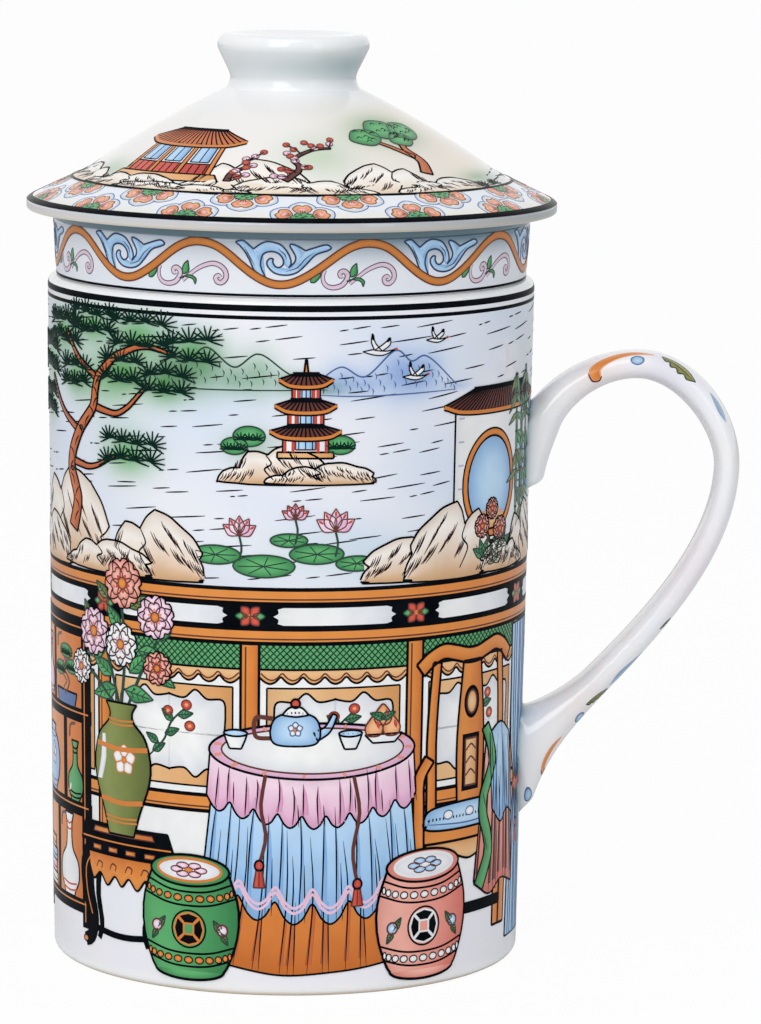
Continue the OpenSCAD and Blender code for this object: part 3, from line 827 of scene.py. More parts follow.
class Picture:
    """Enamel on one surface: every shape is a thin closed shell, kept by colour until it is fired.

    Shapes are given in the surface's own millimetres, or in those of a part placed on it by at().
    """

    def __init__(self, surface, shells=None, turn=None, shift=(0, 0), level=0.0, grain=GRAIN):
        self.surface, self.level, self.grain = surface, level, np.array(grain)
        self.shells = {} if shells is None else shells
        self.turn = np.eye(2) if turn is None else turn
        self.shift = np.asarray(shift, float)

    def at(self, x, y, size=1.0, turn=0.0, flip=1, wide=1.0, level=0.0):
        """The same picture with its origin at x, y, scaled, turned by degrees and mirrored by flip -1."""
        c, s = math.cos(math.radians(turn)) * size, math.sin(math.radians(turn)) * size
        local = np.array([[c * wide * flip, -s], [s * wide * flip, c]])
        return Picture(self.surface, self.shells, self.turn @ local, self.put([(x, y)])[0],
                       self.level + level, self.grain)

    def put(self, points):
        return np.asarray(points, float).reshape(-1, 2) @ self.turn.T + self.shift

    def height(self, colour, lift):
        """Height of a shell's top; neighbours of one colour differ a little so that none coincide."""
        twin = len(self.shells.get(colour, ())) % TWINS
        return FILL_LIFT + LEVEL_STEP * self.level + lift + TWIN_STEP * twin

    def strip(self, colour, top, lift, closed=False, fade=None):
        """A shell from a grid of points, rows along it and columns across; fade runs across from 0 to 1."""
        rows, columns = top.shape[:2]
        faces = strip_faces(rows, columns, closed)
        across, ahead = top[:, -1] - top[:, 0], np.gradient(top.mean(1), axis=0)
        if (across[:, 0] * ahead[:, 1] - across[:, 1] * ahead[:, 0]).sum() < 0:
            faces = faces[:, ::-1]
        t = np.linspace(0, 1, columns)
        rim = np.abs(2 * t - 1) ** 3 if columns > 2 else np.full(columns, 0.5)
        fade = t if fade is None else np.full(columns, fade)
        height = np.full(columns, self.height(colour, lift))
        under = (np.full(columns, BED), rim[::-1], fade[::-1])
        height, rim, fade = (np.tile(np.r_[over, below], rows)
                             for over, below in zip((height, rim, fade), under))
        flat = np.concatenate([top, top[:, ::-1]], 1).reshape(-1, 2)
        self.shells.setdefault(colour, []).append((flat, height, faces, rim, fade))

    def stroke(self, colour, points, width=LINE, level=0.0, closed=False, bend=True, taper=0.0, lift=None):
        """A line through the points; taper 1 thins its ends away, 0 keeps its width."""
        if not bend and len(points) > 2:
            loop = list(points) + [points[0]] * closed
            for pair in zip(loop[:-1], loop[1:]):
                self.stroke(colour, pair, width, level, lift=lift)
            return
        curve = dense(self.put(points), closed, bend)
        measure = effort(curve, self.grain)
        n = max(int(math.ceil(measure[-1])) + 1, 4 if taper else 2)
        path = spaced(curve, measure, n)
        ahead = np.gradient(path, axis=0)
        if closed:
            path = path[:-1]
            ahead = np.roll(path, -1, 0) - np.roll(path, 1, 0)
        ahead /= np.linalg.norm(ahead, axis=1, keepdims=True) + 1e-9
        side = np.stack([-ahead[:, 1], ahead[:, 0]], 1)
        t = np.linspace(0, 1, len(path))
        half = width / 2 * (1 - taper * (1 - 0.12 - 0.88 * np.sin(math.pi * t) ** 0.7))
        columns = max(int(math.ceil(width / self.grain[0])) + 1, 2)
        across = np.linspace(1, -1, columns)[None, :, None]
        top = path[:, None] + side[:, None] * across * half[:, None, None]
        lift = LINE_LIFT if lift is None else lift
        self.at(0, 0, level=level).strip(colour, top, lift, closed, 0.5)

    def band(self, colour, a, b, level=0.0, line="ink", width=LINE, bend=True, ends=True):
        """A fill between two curves, outlined along both and across the ends."""
        sides = [dense(self.put(c), bend=bend) for c in (a, b)]
        n = max(int(math.ceil(max(effort(c, self.grain, 0.7)[-1] for c in sides))) + 1, 2)
        left, right = (spaced(c, along(c), n) for c in sides)
        gap = np.linalg.norm(left - right, axis=1)
        need = np.linalg.norm((left - right) / self.grain, axis=1).max()
        columns = max(int(math.ceil(need)) + 1, 5 if gap.max() > 1.5 else 3)
        t = np.linspace(0, 1, columns)[None, :, None]
        self.at(0, 0, level=level).strip(colour, (1 - t) * left[:, None] + t * right[:, None], 0.0)
        if line:
            paths = [a, b]
            if ends:
                paths += [(c, d) for c, d, g in ((a[0], b[0], gap[0]), (a[-1], b[-1], gap[-1])) if g > 0.15]
            for path in paths:
                self.stroke(line, path, width, level, bend=bend)

    def even(self, colour, half, level=0.0, line="ink", width=LINE, bend=True, ends=True):
        """A band between the right half of an outline and its mirror image."""
        half = np.asarray(half, float)
        self.band(colour, half * (-1, 1), half, level, line, width, bend, ends)

    def disc(self, colour, outline, level=0.0, line="ink", width=LINE, lift=0.0):
        """A fill from the middle out to a closed outline, which it meets in rings."""
        curve = dense(self.put(outline), True)
        measure = effort(curve, self.grain)
        rim = spaced(curve, measure, max(int(math.ceil(measure[-1])) + 1, 7))[:-1]
        centre = rim.mean(0)
        rings = max(int(math.ceil(np.linalg.norm((rim - centre) / self.grain, axis=1).max())), 1)
        n = len(rim)
        t = np.linspace(0, 1, rings + 1)[1:]
        lift = self.height(colour, lift) + LEVEL_STEP * level
        spread = centre + t[:, None, None] * (rim - centre)
        flat = np.concatenate([centre[None], spread.reshape(-1, 2), spread[::-1].reshape(-1, 2),
                               centre[None]])
        height = np.r_[np.full(1 + rings * n, lift), np.full(1 + rings * n, BED)]
        edge = np.r_[0, np.repeat(t ** 3, n), np.repeat(t[::-1] ** 3, n), 0]
        index = np.vstack([np.zeros((1, n), int), 1 + np.arange(2 * rings * n).reshape(-1, n),
                           np.full((1, n), 2 * rings * n + 1)]).ravel()
        faces = index[grid_faces(2 * rings + 2, n, wrap_columns=True)]
        x, y = rim.T
        if (x * np.roll(y, -1) - y * np.roll(x, -1)).sum() > 0:
            faces = faces[:, ::-1]
        self.shells.setdefault(colour, []).append((flat, height, faces, edge, edge ** 0.5 * 0.8))
        if line:
            self.stroke(line, outline, width, level, closed=True)

    def oval(self, colour, x, y, rx, ry, level=0.0, line="ink", width=LINE, lift=0.0):
        a = np.arange(12) * TAU / 12
        self.disc(colour, np.stack([x + rx * np.cos(a), y + ry * np.sin(a)], 1), level, line, width,
                  lift=lift)

    def hoop(self, colour, x, y, rx, ry, width, level, count=24):
        """An oval line through count points."""
        a = np.linspace(0, TAU, count + 1)[:-1]
        self.stroke(colour, np.stack([x + rx * np.cos(a), y + ry * np.sin(a)], 1), width, level,
                    closed=True)

    def box(self, colour, x0, y0, x1, y1, level=0.0, line="ink", width=LINE):
        self.band(colour, [(x0, y0), (x0, y1)], [(x1, y0), (x1, y1)], level, line, width, bend=False)

    def circle_line(self, colour, y, width, length, level=0.0):
        """A line all the way round, at height y; length is the whole way round."""
        x = np.arange(TURN_STEPS) * length / TURN_STEPS
        across = np.linspace(0.5, -0.5, 4) * width
        top = np.stack(np.broadcast_arrays(x[:, None], y + across), -1)
        self.at(0, 0, level=level).strip(colour, top, LINE_LIFT, closed=True)

    def fire(self, name, body):
        """Makes one piece of each colour."""
        for colour, shells in self.shells.items():
            starts = np.cumsum([0] + [len(s[0]) for s in shells[:-1]])
            flat, height, rim, fade = (np.concatenate([s[k] for s in shells]) for k in (0, 1, 3, 4))
            faces = np.concatenate([s[2] + start for s, start in zip(shells, starts)])
            points = self.surface(flat[:, 0], flat[:, 1], height) * MM
            piece = mesh_piece(f"{name}_{colour}", points, faces, enamel(colour), sharp=50)
            set_attribute(piece, "rim", rim)
            set_attribute(piece, "fade", fade)
            dress(piece, body, "overglaze_enamel")


ENAMELS = {}


def enamel(colour):
    """A fired colour: mottled, shaded from edge to edge, and deeper where it lies thick at a fill's rim."""
    if colour in ENAMELS:
        return ENAMELS[colour]
    shine = 0.015 if colour in ("ink", "needle") else 0.35
    material, nodes, links, shader = new_material("enamel_" + colour, 0.24, specular=shine)
    group = fired(nodes, links, shader, 0.00001, tone_scale=260.0)
    first, last = (np.array(linear(code)) for code in (PALETTE[colour].split("/") * 2)[:2])
    rim, fade = (ranged(nodes, links, attribute(nodes, name)["Fac"], 0.1, 1.0, 0.0, top)
                 for name, top in (("rim", 0.55), ("fade", 1.0)))
    tones = []
    for code in (first, last):
        light = tuple(np.minimum(code[:3] * 1.07 + 0.003, 1)) + (1.0,)
        tones.append(mixed(nodes, links, group.outputs["Tone"], light, tuple(code)))
    blend = mixed(nodes, links, fade, *tones)
    deep = tuple(last[:3] * 0.8) + (1.0,)
    links.new(mixed(nodes, links, rim, blend, deep), shader.inputs["Base Color"])
    ENAMELS[colour] = material
    return material


# ---- collar: a wave with scrolls and leaves

WAVES = 9
BAND_Z = 113.3
WAVE_WIDE = 0.9


def wave_cell(p, length):
    """One repeat of the collar's ornament, from crest to crest, heights above the band's line."""
    share = np.array([-.05, 0, .07, .135, .2, .27, .35, .43, .5, .57, .65, .73, .8, .865, .93, 1, 1.05])
    height = np.array([8.4, 8.5, 8.3, 7.6, 6.3, 4.6, 2.9, 1.75, 1.45, 1.8, 2.9, 4.4, 5.9, 7.2, 8.1, 8.5,
                       8.4])
    wave = np.stack([share * length, height], 1)
    q = p.at(0.495 * length, 0)
    tail = [(-3.7, 3.1), (-4.7, 4.0), (-5.2, 5.2), (-6.1, 6.8), (-7, 7.9)]
    back = [(-4.7, 7.5), (-3.4, 8.4), (-2.1, 8.8), (-0.2, 8.4), (0.9, 7.5), (1.7, 6.2), (1.9, 5.1),
            (1.5, 4.4)]
    belly = [(-2.1, 4.4), (-0.9, 3.4), (1.1, 3.1), (3, 3.6), (4.6, 5), (6.2, 6.6)]
    for a, b in (([(-7.7, 8.6)] + tail[::-1] + [(-2.5, 2.6)],
                  [(-7.7, 8.6), (-6.6, 8.9), (-5.8, 8.4), (-4.7, 7.5), (-3.2, 6.9), (-2.8, 4.8),
                   (-2.5, 2.6)]),
                 (back, [(-3.9, 5.6), (-2.8, 6.6), (-1.4, 7.0), (-0.2, 6.6), (0.4, 5.9), (0.6, 5.2),
                         (0.8, 4.7), (1.5, 4.2)]),
                 ([(-1.8, 5.8), (-2.3, 5.3)] + belly,
                  [(-1.2, 5.7), (-1.2, 5), (-0.7, 4.5), (0, 4.4), (1.5, 4.3), (2.5, 5.3), (3.4, 6.6),
                   (4.4, 7.3)]),
                 ([(1.5, 4.4), (2.5, 5.3), (2.7, 6.2), (2.2, 7.2), (1.7, 8.1), (1.9, 8.4)],
                  [(3.4, 4.2), (4.0, 5.6), (4.0, 6.6), (3.6, 7.4), (3, 8.1), (1.9, 8.4)]),
                 ([(3.4, 6.2), (4.4, 7.3), (6, 7.8), (8, 8.3), (8.8, 7.8)],
                  [(3.6, 4.2), (4.6, 5), (6.2, 6.6), (8.3, 7.3), (8.8, 7.8)])):
        q.band("blue", a, b, line=None)
    for path in ([(-2.4, 2.4)] + tail + [(-7.8, 8.6), (-6.6, 8.9), (-5.8, 8.4), (-4.7, 7.5)], back,
                 [(-2.6, 2.7), (-3.4, 4.4), (-3.4, 5.7), (-2.8, 6.8), (-1.4, 7.1), (-0.2, 6.7), (0.5, 5.8),
                  (0.5, 4.9), (-0.2, 4.4), (-0.9, 4.6), (-1.3, 5.3), (-1.25, 5.8), (-1.8, 5.9),
                  (-2.35, 5.3)] + belly + [(8.3, 7.3), (8.9, 7.8), (8, 8.3), (6, 7.8), (4.4, 7.3)],
                 [(4.4, 7.3), (3, 8.1), (1.9, 8.4), (1.7, 8.0), (2.2, 7.2), (2.7, 6.2), (2.5, 5.3),
                  (1.5, 4.4)]):
        q.stroke("navy", path, 0.27, level=1)
    for path in ([(-6.4, 7.9), (-5.4, 6.2), (-4.5, 4.6)], [(-0.4, 7.6), (0.8, 6.6), (1.1, 5.6)],
                 [(0.9, 3.7), (3, 4.4), (4.4, 5.9), (6, 7)]):
        q.stroke("navy", path, 0.17, level=1, taper=1)
    left = [(-8, 4), (-8.4, 3.1), (-8.3, 2), (-7.5, 1.2), (-6.2, 1), (-4.8, 1.4), (-3.9, 2.4), (-3.8, 3.3),
            (-4.5, 3.8), (-5.2, 3.5), (-5.1, 2.9), (-4.6, 3.0)]
    right = [(-3.3, 1.6), (-1.7, 2.8), (-0.2, 3.8), (1.4, 4.5), (3, 4.8), (4.4, 4.4), (5.3, 3.5),
             (5.4, 2.4), (4.6, 1.6), (3.7, 1.7), (3.4, 2.4), (4, 2.8), (4.5, 2.4)]
    for crest, scroll in ((0, right), (length, left)):
        q = p.at(crest + 0.2, 0, wide=0.95)
        q.stroke("plum", scroll, 0.95, taper=0.45, lift=0.004)
        q.stroke("mauve", scroll, 0.6, level=0.5, taper=0.45)
        if scroll is right:
            q.band("green", [(-3.2, 2.8), (-3.3, 3.6), (-2.9, 4.5), (-2.1, 5.1)],
                   [(-3.2, 2.8), (-2.5, 2.9), (-1.9, 3.5), (-2.1, 5.1)], 1, "dark_green", 0.2)
            q.band("green", [(-2.6, 2.3), (-1.8, 2.2), (-1.1, 1.9), (-0.7, 1.1)],
                   [(-2.6, 2.6), (-1.4, 2.6), (-0.5, 2.0), (-0.7, 1.1)], 1, "dark_green", 0.2)
            q.stroke("dark_green", [(-3.9, 2.0), (-3.1, 2.3), (-2.4, 2.5)], 0.3, level=1.2)
        else:
            q.band("green", [(-8.7, 3.5), (-9.9, 3.1), (-10.6, 2.5), (-10.7, 1.9)],
                   [(-8.7, 3.5), (-9.1, 2.6), (-9.9, 1.9), (-10.7, 1.9)], 0.5, "dark_green", 0.2)
    p.stroke("brown", wave, 1.45, level=1.5, lift=0.0)
    p.stroke("amber", wave, 1.0, level=2)


collar = Picture(on_collar)
collar_round = TAU * COLLAR_TOP_R
for k in range(WAVES):
    cell = collar.at((k + 0.44) * collar_round / WAVES, BAND_Z, size=0.93, wide=WAVE_WIDE / 0.93)
    wave_cell(cell, collar_round / WAVES / WAVE_WIDE)
# A printed line along the collar's foot, set low so that it also serves as painted shadow in the seam with
# the mug's rim.
collar.circle_line("ink", MUG_H + 0.4, 0.4, collar_round)
collar.fire("collar", "infuser_basket")


# ---- lid border: two rows of half flowers

FLOWERS = 14
BORDER_MEAN = 39.0                   # radius at which the border keeps its widths
LID_LINE, LID_RING = 0.8, 8.5        # distances up the lid's face of the outer line and the inner ring


def half_flower(p):
    """Half a flower that grows up from a line: three petals, each in a pale halo, and a green heart."""
    petal = np.array([(-0.35, -1.3), (-1.1, -0.7), (-1.5, 0.2), (-0.95, 1.1), (-0.35, 1.15), (0, 0.95),
                      (0.35, 1.15), (0.95, 1.1), (1.5, 0.2), (1.1, -0.7), (0.35, -1.3)])
    round_it = np.array([(0, -1.25), (-0.95, -0.85), (-1.5, 0.05), (-1.1, 0.95), (0, 1.5), (1.1, 0.95),
                         (1.5, 0.05), (0.95, -0.85)])
    lobes = [p.at(*place) for place in ((-2.75, 1.45, 0.95, 66), (2.75, 1.45, 0.95, -66),
                                        (0, 2.85, 1.0, 0))]
    for q in lobes:
        q.disc("halo", round_it * (1.46, 1.45) + (0, 0.1), 0, "deep_blue", 0.18)
    for q in lobes:
        q.disc("white", round_it * (1.28, 1.27), 1, None)
    for q in lobes:
        q.disc("peach", petal, 1.6, "brown", 0.17)
        q.disc("salmon", petal * (0.62, 0.6) - (0, 0.2), 2, None)
        for x in (-0.4, 0.0, 0.45):
            q.stroke("brown", [(x * 0.5, -1.15), (x, -0.25)], 0.17, level=2.2, taper=1)
    heart = [(-1.8, 0), (-1.75, 0.7), (-1.2, 1.1), (-0.9, 1.65), (-0.2, 1.6), (0.3, 1.9), (0.9, 1.5),
             (1.4, 1.25), (1.6, 0.6), (1.85, 0)]
    p.band("green", heart, [(x * 0.1, 0) for x, _ in heart], 2.4, "dark_green", 0.16, ends=False)
    for x, y in ((-1.2, 0.5), (-0.6, 1.0), (0.1, 0.6), (0.5, 1.3), (1.1, 0.6), (-0.3, 0.3)):
        p.stroke("dark_green", [(x, y), (x + 0.3, y + 0.25), (x + 0.5, y)], 0.32, level=2.7, taper=0.7)


border = Picture(lid_surface(BORDER_MEAN))
border_round = TAU * BORDER_MEAN
for k in range(FLOWERS):
    half_flower(border.at((k + 0.09) * border_round / FLOWERS, LID_LINE + 0.35, 1.02, wide=0.98))
    half_flower(border.at((k - 0.45) * border_round / FLOWERS, LID_RING, 1.02, turn=180, wide=1.14))
border.circle_line("ink", LID_LINE, 1.1, border_round, 3)
border.circle_line("ink", LID_RING, 0.42, border_round, 3)
border.fire("lid_border", "lid_assembly")


# ---- handle: scattered petals, leaves and dots

def sprig_petal(p):
    """A long swash with a hooked brown end."""
    p.band("orange", [(7.5, 0.9), (4, 1.7), (0, 1.5), (-2.6, 0.5), (-3.4, -1.3), (-2.7, -2.0)],
           [(7.5, 0.9), (4, 0.8), (1, 0.3), (-1.2, -0.5), (-1.9, -1.5), (-2.7, -2.0)], 0, "peach", 0.3)
    p.stroke("brown", [(-3.2, 0.0), (-3.6, -1.4), (-2.7, -2.1), (-1.7, -1.5)], 0.4, taper=0.6, level=0.5)


def sprig_leaf(p):
    """A leaf with a scalloped lower edge."""
    p.band("moss", [(-3.4, 1.3), (-1, 1.5), (1.4, 1.2), (3.4, 0.2)],
           [(-3.4, 1.3), (-2.6, 0.2), (-1.9, 0.4), (-1.4, -0.6), (-0.5, -0.2), (0.2, -1.0), (1.1, -0.4),
            (2.0, -0.9), (3.4, 0.2)], 0, "dark_green", 0.25)
    p.stroke("dark_green", [(-2.8, 0.9), (0, 0.5), (2.8, 0)], 0.3, level=0.5, taper=1)


def sprig_dot(p):
    p.oval("mist", 0, 0, 1.2, 1.2, 0, "deep_blue", 0.24)


def sprig_stroke(p):
    p.band("mist", [(-3.6, 0.9), (-1, 1.4), (1.8, 1.0), (3.8, 0)],
           [(-3.6, 0.9), (-1.4, -0.2), (1.2, -0.8), (3.8, 0)], 0, "mist", 0.18)
    p.stroke("lilac", [(-2.4, 0.6), (0.2, 0.5), (2.6, 0)], 0.5, taper=0.9, level=0.5)


# Each sprig: distance along from the crest, sprig, its turn, its size, how far it sits from the middle
SPRIGS = [(-5.8, sprig_petal, 8, 1.15, 4.3), (-0.1, sprig_dot, 0, 0.95, 4.2),
          (7.4, sprig_leaf, -6, 1.05, 3.5), (16.8, sprig_stroke, 0, 0.75, 3.3),
          (57.0, sprig_leaf, 175, 0.36, 2.6), (67.0, sprig_stroke, 0, 1.05, 2.9),
          (74.0, sprig_leaf, 170, 0.7, 2.8), (78.6, sprig_dot, 0, 0.85, 2.7),
          (88.0, sprig_petal, 180, 0.62, 2.6), (95.0, sprig_dot, 0, 0.8, 2.6)]
strap = Picture(on_handle, grain=(0.3, 0.3))
for side in (-1, 1):
    for far, sprig, turn, size, out in SPRIGS:
        sprig(strap.at(far + (side > 0) * 2.1, side * out, size, turn if side < 0 else -turn))
strap.fire("handle", "mug")


# ---- motifs of the garden picture

def limb(p, colour, path, start, end, level=0.0, line="ink", width=LINE):
    """A strip along a path whose width runs evenly from start to end."""
    q = evenly(path, max(3, len(path) * 2))
    ahead = np.gradient(q, axis=0)
    ahead /= np.linalg.norm(ahead, axis=1, keepdims=True) + 1e-9
    side = np.stack([-ahead[:, 1], ahead[:, 0]], 1) * np.linspace(start, end, len(q))[:, None] / 2
    p.band(colour, q + side, q - side, level, line, width)


def cloth(p, colour, shade, top, hem, folds, level=0.0, lean=0.0, seed=1):
    """Cloth between its upper edge and its hem, with folds that widen downwards."""
    g = np.random.default_rng(seed)
    p.band(colour, top, hem, level)
    up, down = (evenly(c, 61) for c in (top, hem))
    for k in range(folds):
        i = int(np.clip((k + 0.5 + g.uniform(-0.3, 0.3)) / folds * 60, 2, 58))
        a, b = up[i], down[i]
        mid = a + (b - a) * 0.5 + (lean + g.uniform(-0.35, 0.35), 0)
        start = a + (b - a) * g.uniform(0.0, 0.3)
        wide = np.array([g.uniform(0.5, 1.1), 0.0])
        low = b + (a - b) * 0.06
        p.band(shade, [start, mid + wide * 0.6, low + wide * 0.8], [start, mid, low - wide * 0.3],
               level + 0.3, None)
        p.stroke("ink", [start, mid, b], 0.26, level + 0.4, taper=0.9)
        if k % 2:
            p.stroke("ink", [a + (b - a) * 0.55 + (0.8, 0), b + (1.0, 0)], 0.22, level + 0.4, taper=0.9)


def scallops(x0, x1, y, count, drop, sag=0.0):
    """A scalloped edge from x0 to x1: count arcs that hang by drop below a line sagging in its middle."""
    t = np.linspace(0, 1, count * 4 + 1)
    hang = sag * np.sin(math.pi * t)
    return np.stack([x0 + (x1 - x0) * t, y - hang - drop * np.abs(np.sin(math.pi * t * count))], 1)


def kinked(points, sag):
    """A brush line that swings in or out between the given corners and turns sharply at each."""
    points = np.asarray(points, float)
    a, b = points[:-1], points[1:]
    across = np.stack([-(b - a)[:, 1], (b - a)[:, 0]], 1)
    path = np.stack([a + 0.05 * (b - a), (a + b) / 2 + across * sag, b - 0.05 * (b - a)], 1)
    return path.reshape(-1, 2)


ROCK_LINE = np.array([(-1, 0), (-0.9, 0.3), (-0.96, 0.42), (-0.66, 0.8), (-0.16, 1.0), (0.1, 0.72),
                      (0.4, 0.84), (0.62, 0.4), (0.88, 0.26), (1, 0)])
ROCK_CREASE = np.array([(0.1, 0.72), (0.0, 0.5), (0.12, 0.34), (-0.04, 0.08)])
# Bundles of brush strokes on a lump: place across and up it, and their lean
ROCK_HATCH = [(-0.66, 0.62, -0.5), (-0.3, 0.86, -0.6), (-0.1, 0.7, -0.7), (0.08, 0.5, -0.6),
              (0.46, 0.66, 0.4), (-0.46, 0.46, -0.8), (-0.74, 0.3, -0.6), (0.3, 0.36, 0.5),
              (0.62, 0.3, 0.6)]


def hatch(p, x, y, count, reach, lean, level, g):
    """A bundle of slanting brush strokes, each set a little below the last."""
    side = math.copysign(1, lean)
    for k in range(count):
        a = np.array([x + side * k * 0.42, y - k * y * 0.05]) + g.uniform(-0.12, 0.12, 2)
        b = a + reach * g.uniform(0.6, 1.15) * np.array([lean, -1])
        p.stroke("brown" if k % 3 == 2 else "ink", [a, (a + b) / 2 - (lean * 0.25, 0), b], 0.22, level,
                 taper=0.85)


def rock(p, width, height, lumps, seed, colour="rock"):
    """Overlapping lumps of rock with cornered skylines, warm feet and bundles of brush strokes."""
    g = np.random.default_rng(seed)
    half = width / (lumps + 1)
    order = np.argsort(np.abs(np.arange(lumps) - (lumps - 1) / 2 + g.uniform(-0.4, 0.4)))
    for place, k in enumerate(order):
        x = (k - (lumps - 1) / 2) * half * 0.98
        tall = height * (1 - 0.5 * place / max(lumps - 1, 1)) * g.uniform(0.92, 1.02)
        wide, flip = half * g.uniform(1.0, 1.15), -1 if g.uniform() < 0.5 else 1
        line = ROCK_LINE * (wide * flip, tall) + g.uniform(-0.05, 0.05, ROCK_LINE.shape) * (wide, tall)
        line = kinked(line[::flip] + (x, 0), 0.07)
        foot = np.stack([line[:, 0], -0.06 * height * np.sin(np.linspace(0, math.pi, len(line)))], 1)
        shelf = 0.45 * place
        p.band(colour, line, foot, shelf, "ink", 0.32, ends=False)
        for u, v, lean in ROCK_HATCH:
            reach = min(tall * 0.22 + 0.4, tall * v * 0.8)
            count = int(g.integers(4, 8))
            hatch(p, x + u * wide * flip, v * tall, count, reach, lean * flip, shelf + 0.3, g)
        p.stroke("ink", ROCK_CREASE * (wide * flip, tall) + (x, 0), 0.3, shelf + 0.3, taper=0.5)


def tuft(p, x, y, size, turn, level, count=9):
    """A fan of tapering pine needles."""
    for a in np.radians(turn + np.linspace(-100, 100, count)):
        tip = (x + size * math.sin(a), y + size * 0.8 * math.cos(a))
        p.stroke("needle", [(x, y - 0.15), tip], 0.27, level, taper=0.6)


PINE_AT = (-43, 73)
PINE_CLOUDS = [(-12, 27, 6.5, 3.0), (-4, 32, 6.5, 3.0), (6, 34, 7, 2.4), (17, 33, 7, 3.0), (27, 31, 6, 2.6),
               (14, 27, 6, 2.6), (22, 25.5, 5, 2.4), (14.5, 14, 6.5, 2.8), (-12, 19.5, 5, 2.2),
               (1, 25, 5, 2.2)]


def pine(p):
    """A leaning pine: brown trunk, boughs and flat clouds of needle tufts."""
    g = np.random.default_rng(3)
    trunk = [(0, 0), (1.6, 5), (-0.6, 10.5), (2.2, 16), (6.5, 20.5), (7.5, 25), (12, 29)]
    boughs = [[(2.2, 16), (-4, 19), (-9, 24)], [(6.5, 20.5), (13, 20), (19, 25)],
              [(0.2, 11), (6, 10.6), (12, 13)], [(7.5, 25), (2, 28), (-2, 32)],
              [(12, 29), (18, 31), (24, 30)]]
    for path in boughs:
        limb(p, "bark", path, 1.2, 0.5, 0.6, "ink", 0.3)
    limb(p, "bark", trunk, 2.9, 1.1, 1.1, "ink")
    q = dense(trunk)
    for k in range(4, len(q) - 3, 3):
        side = 1 if k % 2 else -1
        p.stroke("ink", [q[k] + (-0.9 * side, 0.5), q[k] + (0.1, -0.2), q[k] + (0.5 * side, -1.3)], 0.28,
                 1.4, taper=0.8)
    for x, y in ((-0.1, 9.6), (2.9, 16.6)):
        p.oval("brown", x, y, 0.5, 0.36, 1.5, "ink", 0.2)
    for x, y, w, h in PINE_CLOUDS:
        for row in (-0.55, 0.55):
            reach = w * math.sqrt(1 - row * row * 0.8)
            for x1 in np.arange(-reach + 1.3, reach - 0.4, 3.1) + g.uniform(-0.5, 0.5):
                up, size = g.uniform(-0.4, 0.4), g.uniform(2.3, 3.0)
                tuft(p, x + x1, y + h * row + up, size, x1 * 5, 1.7 - 0.3 * row)


def bamboo(p, height, stems, seed=5):
    """Jointed stems with drooping pointed leaves."""
    g = np.random.default_rng(seed)
    for k in range(stems):
        x, lean = k * 2.4 + g.uniform(-0.5, 0.5), g.uniform(-0.1, 0.14)
        top = height * g.uniform(0.8, 1)
        limb(p, "green", [(x, 0), (x + lean * top / 2, top / 2), (x + lean * top, top)], 0.8, 0.5, 0,
             "dark_green", 0.22)
        for y in np.arange(2.2, top, 3.1):
            c = x + lean * y
            p.stroke("ink", [(c - 0.5, y), (c + 0.5, y)], 0.3, 0.3)
            if y > top * 0.3:
                for turn in g.uniform(-75, 75, 3):
                    q = p.at(c, y, g.uniform(0.85, 1.2), 180 + turn)
                    q.even("green" if turn > 0 else "olive", [(0, 0), (0.45, 1.4), (0, 3.6)], 0.6,
                           "dark_green", 0.2)


def ripples(p, x0, x1, y0, y1, seed, step=2.3):
    """Brush strokes of still water in uneven rows, each rising a little to the right; some are broken."""
    g = np.random.default_rng(seed)
    rows = np.arange(y0, y1, step)
    for y in rows + g.uniform(-0.7, 0.7, len(rows)):
        x = x0 + g.uniform(0, 6)
        while x < x1 - 1:
            w, rise = g.uniform(1.6, 7.6), g.uniform(0.07, 0.14)
            level_y = y + g.uniform(-0.5, 0.5)
            parts = ((0, 0.3), (0.42, 1)) if g.uniform() < 0.3 else ((0, 1),)
            for a, b in parts:
                p.stroke("ink", [(x + w * c, level_y + w * c * rise) for c in (a, (a + b) / 2, b)], 0.23,
                         taper=0.75)
            x += w + g.uniform(1.2, 8.5)


def crane(p):
    """A small white bird in flight with black wing tips."""
    p.band("white", [(-2.6, -0.2), (-0.6, 0.4), (1.4, 0.35), (3.2, 0.9)],
           [(-2.6, -0.2), (-0.6, -0.5), (1.2, -0.3), (3.2, 0.9)], 0, "ink", 0.2)
    for tip in ((-1.4, 3.0), (1.9, 2.7)):
        p.band("white", [(-0.6, 0.3), (tip[0] * 0.7 - 0.4, 1.6), tip],
               [(0.8, 0.3), (tip[0] * 0.8 + 0.5, 1.5), tip], 0.4, "ink", 0.2)
        p.stroke("ink", [(tip[0] * 0.75, 1.9), tip], 0.5, 0.6, taper=0.6)
    p.stroke("red", [(3.0, 0.9), (3.5, 1.0)], 0.35, 0.6)


def roof(p, x0, x1, y, rise, colour="brown", level=0.0):
    """A tiled roof with upturned eaves and rows of tiles."""
    w, m = x1 - x0, (x0 + x1) / 2
    eave = [(x0 - 1, y + 1.1), (x0 + w * 0.12, y), (m, y - 0.3), (x1 - w * 0.12, y), (x1 + 1, y + 1.1)]
    ridge = [(x, y + rise) for x in (x0 + w * 0.2, x0 + w * 0.35, m, x1 - w * 0.35, x1 - w * 0.2)]
    p.band(colour, eave, ridge, level)
    low, high = (evenly(c, int(w / 0.9) + 2) for c in (eave, ridge))
    for pair in list(zip(low, high))[1:-1]:
        p.stroke("ink", pair, 0.26, level + 0.3)
    p.stroke("orange", np.array(eave) - (0, 0.15), 0.6, level + 0.5)
    p.stroke("ink", np.array(eave) - (0, 0.55), 0.28, level + 0.7)
    p.stroke("ink", ridge, 0.75, level + 0.5)


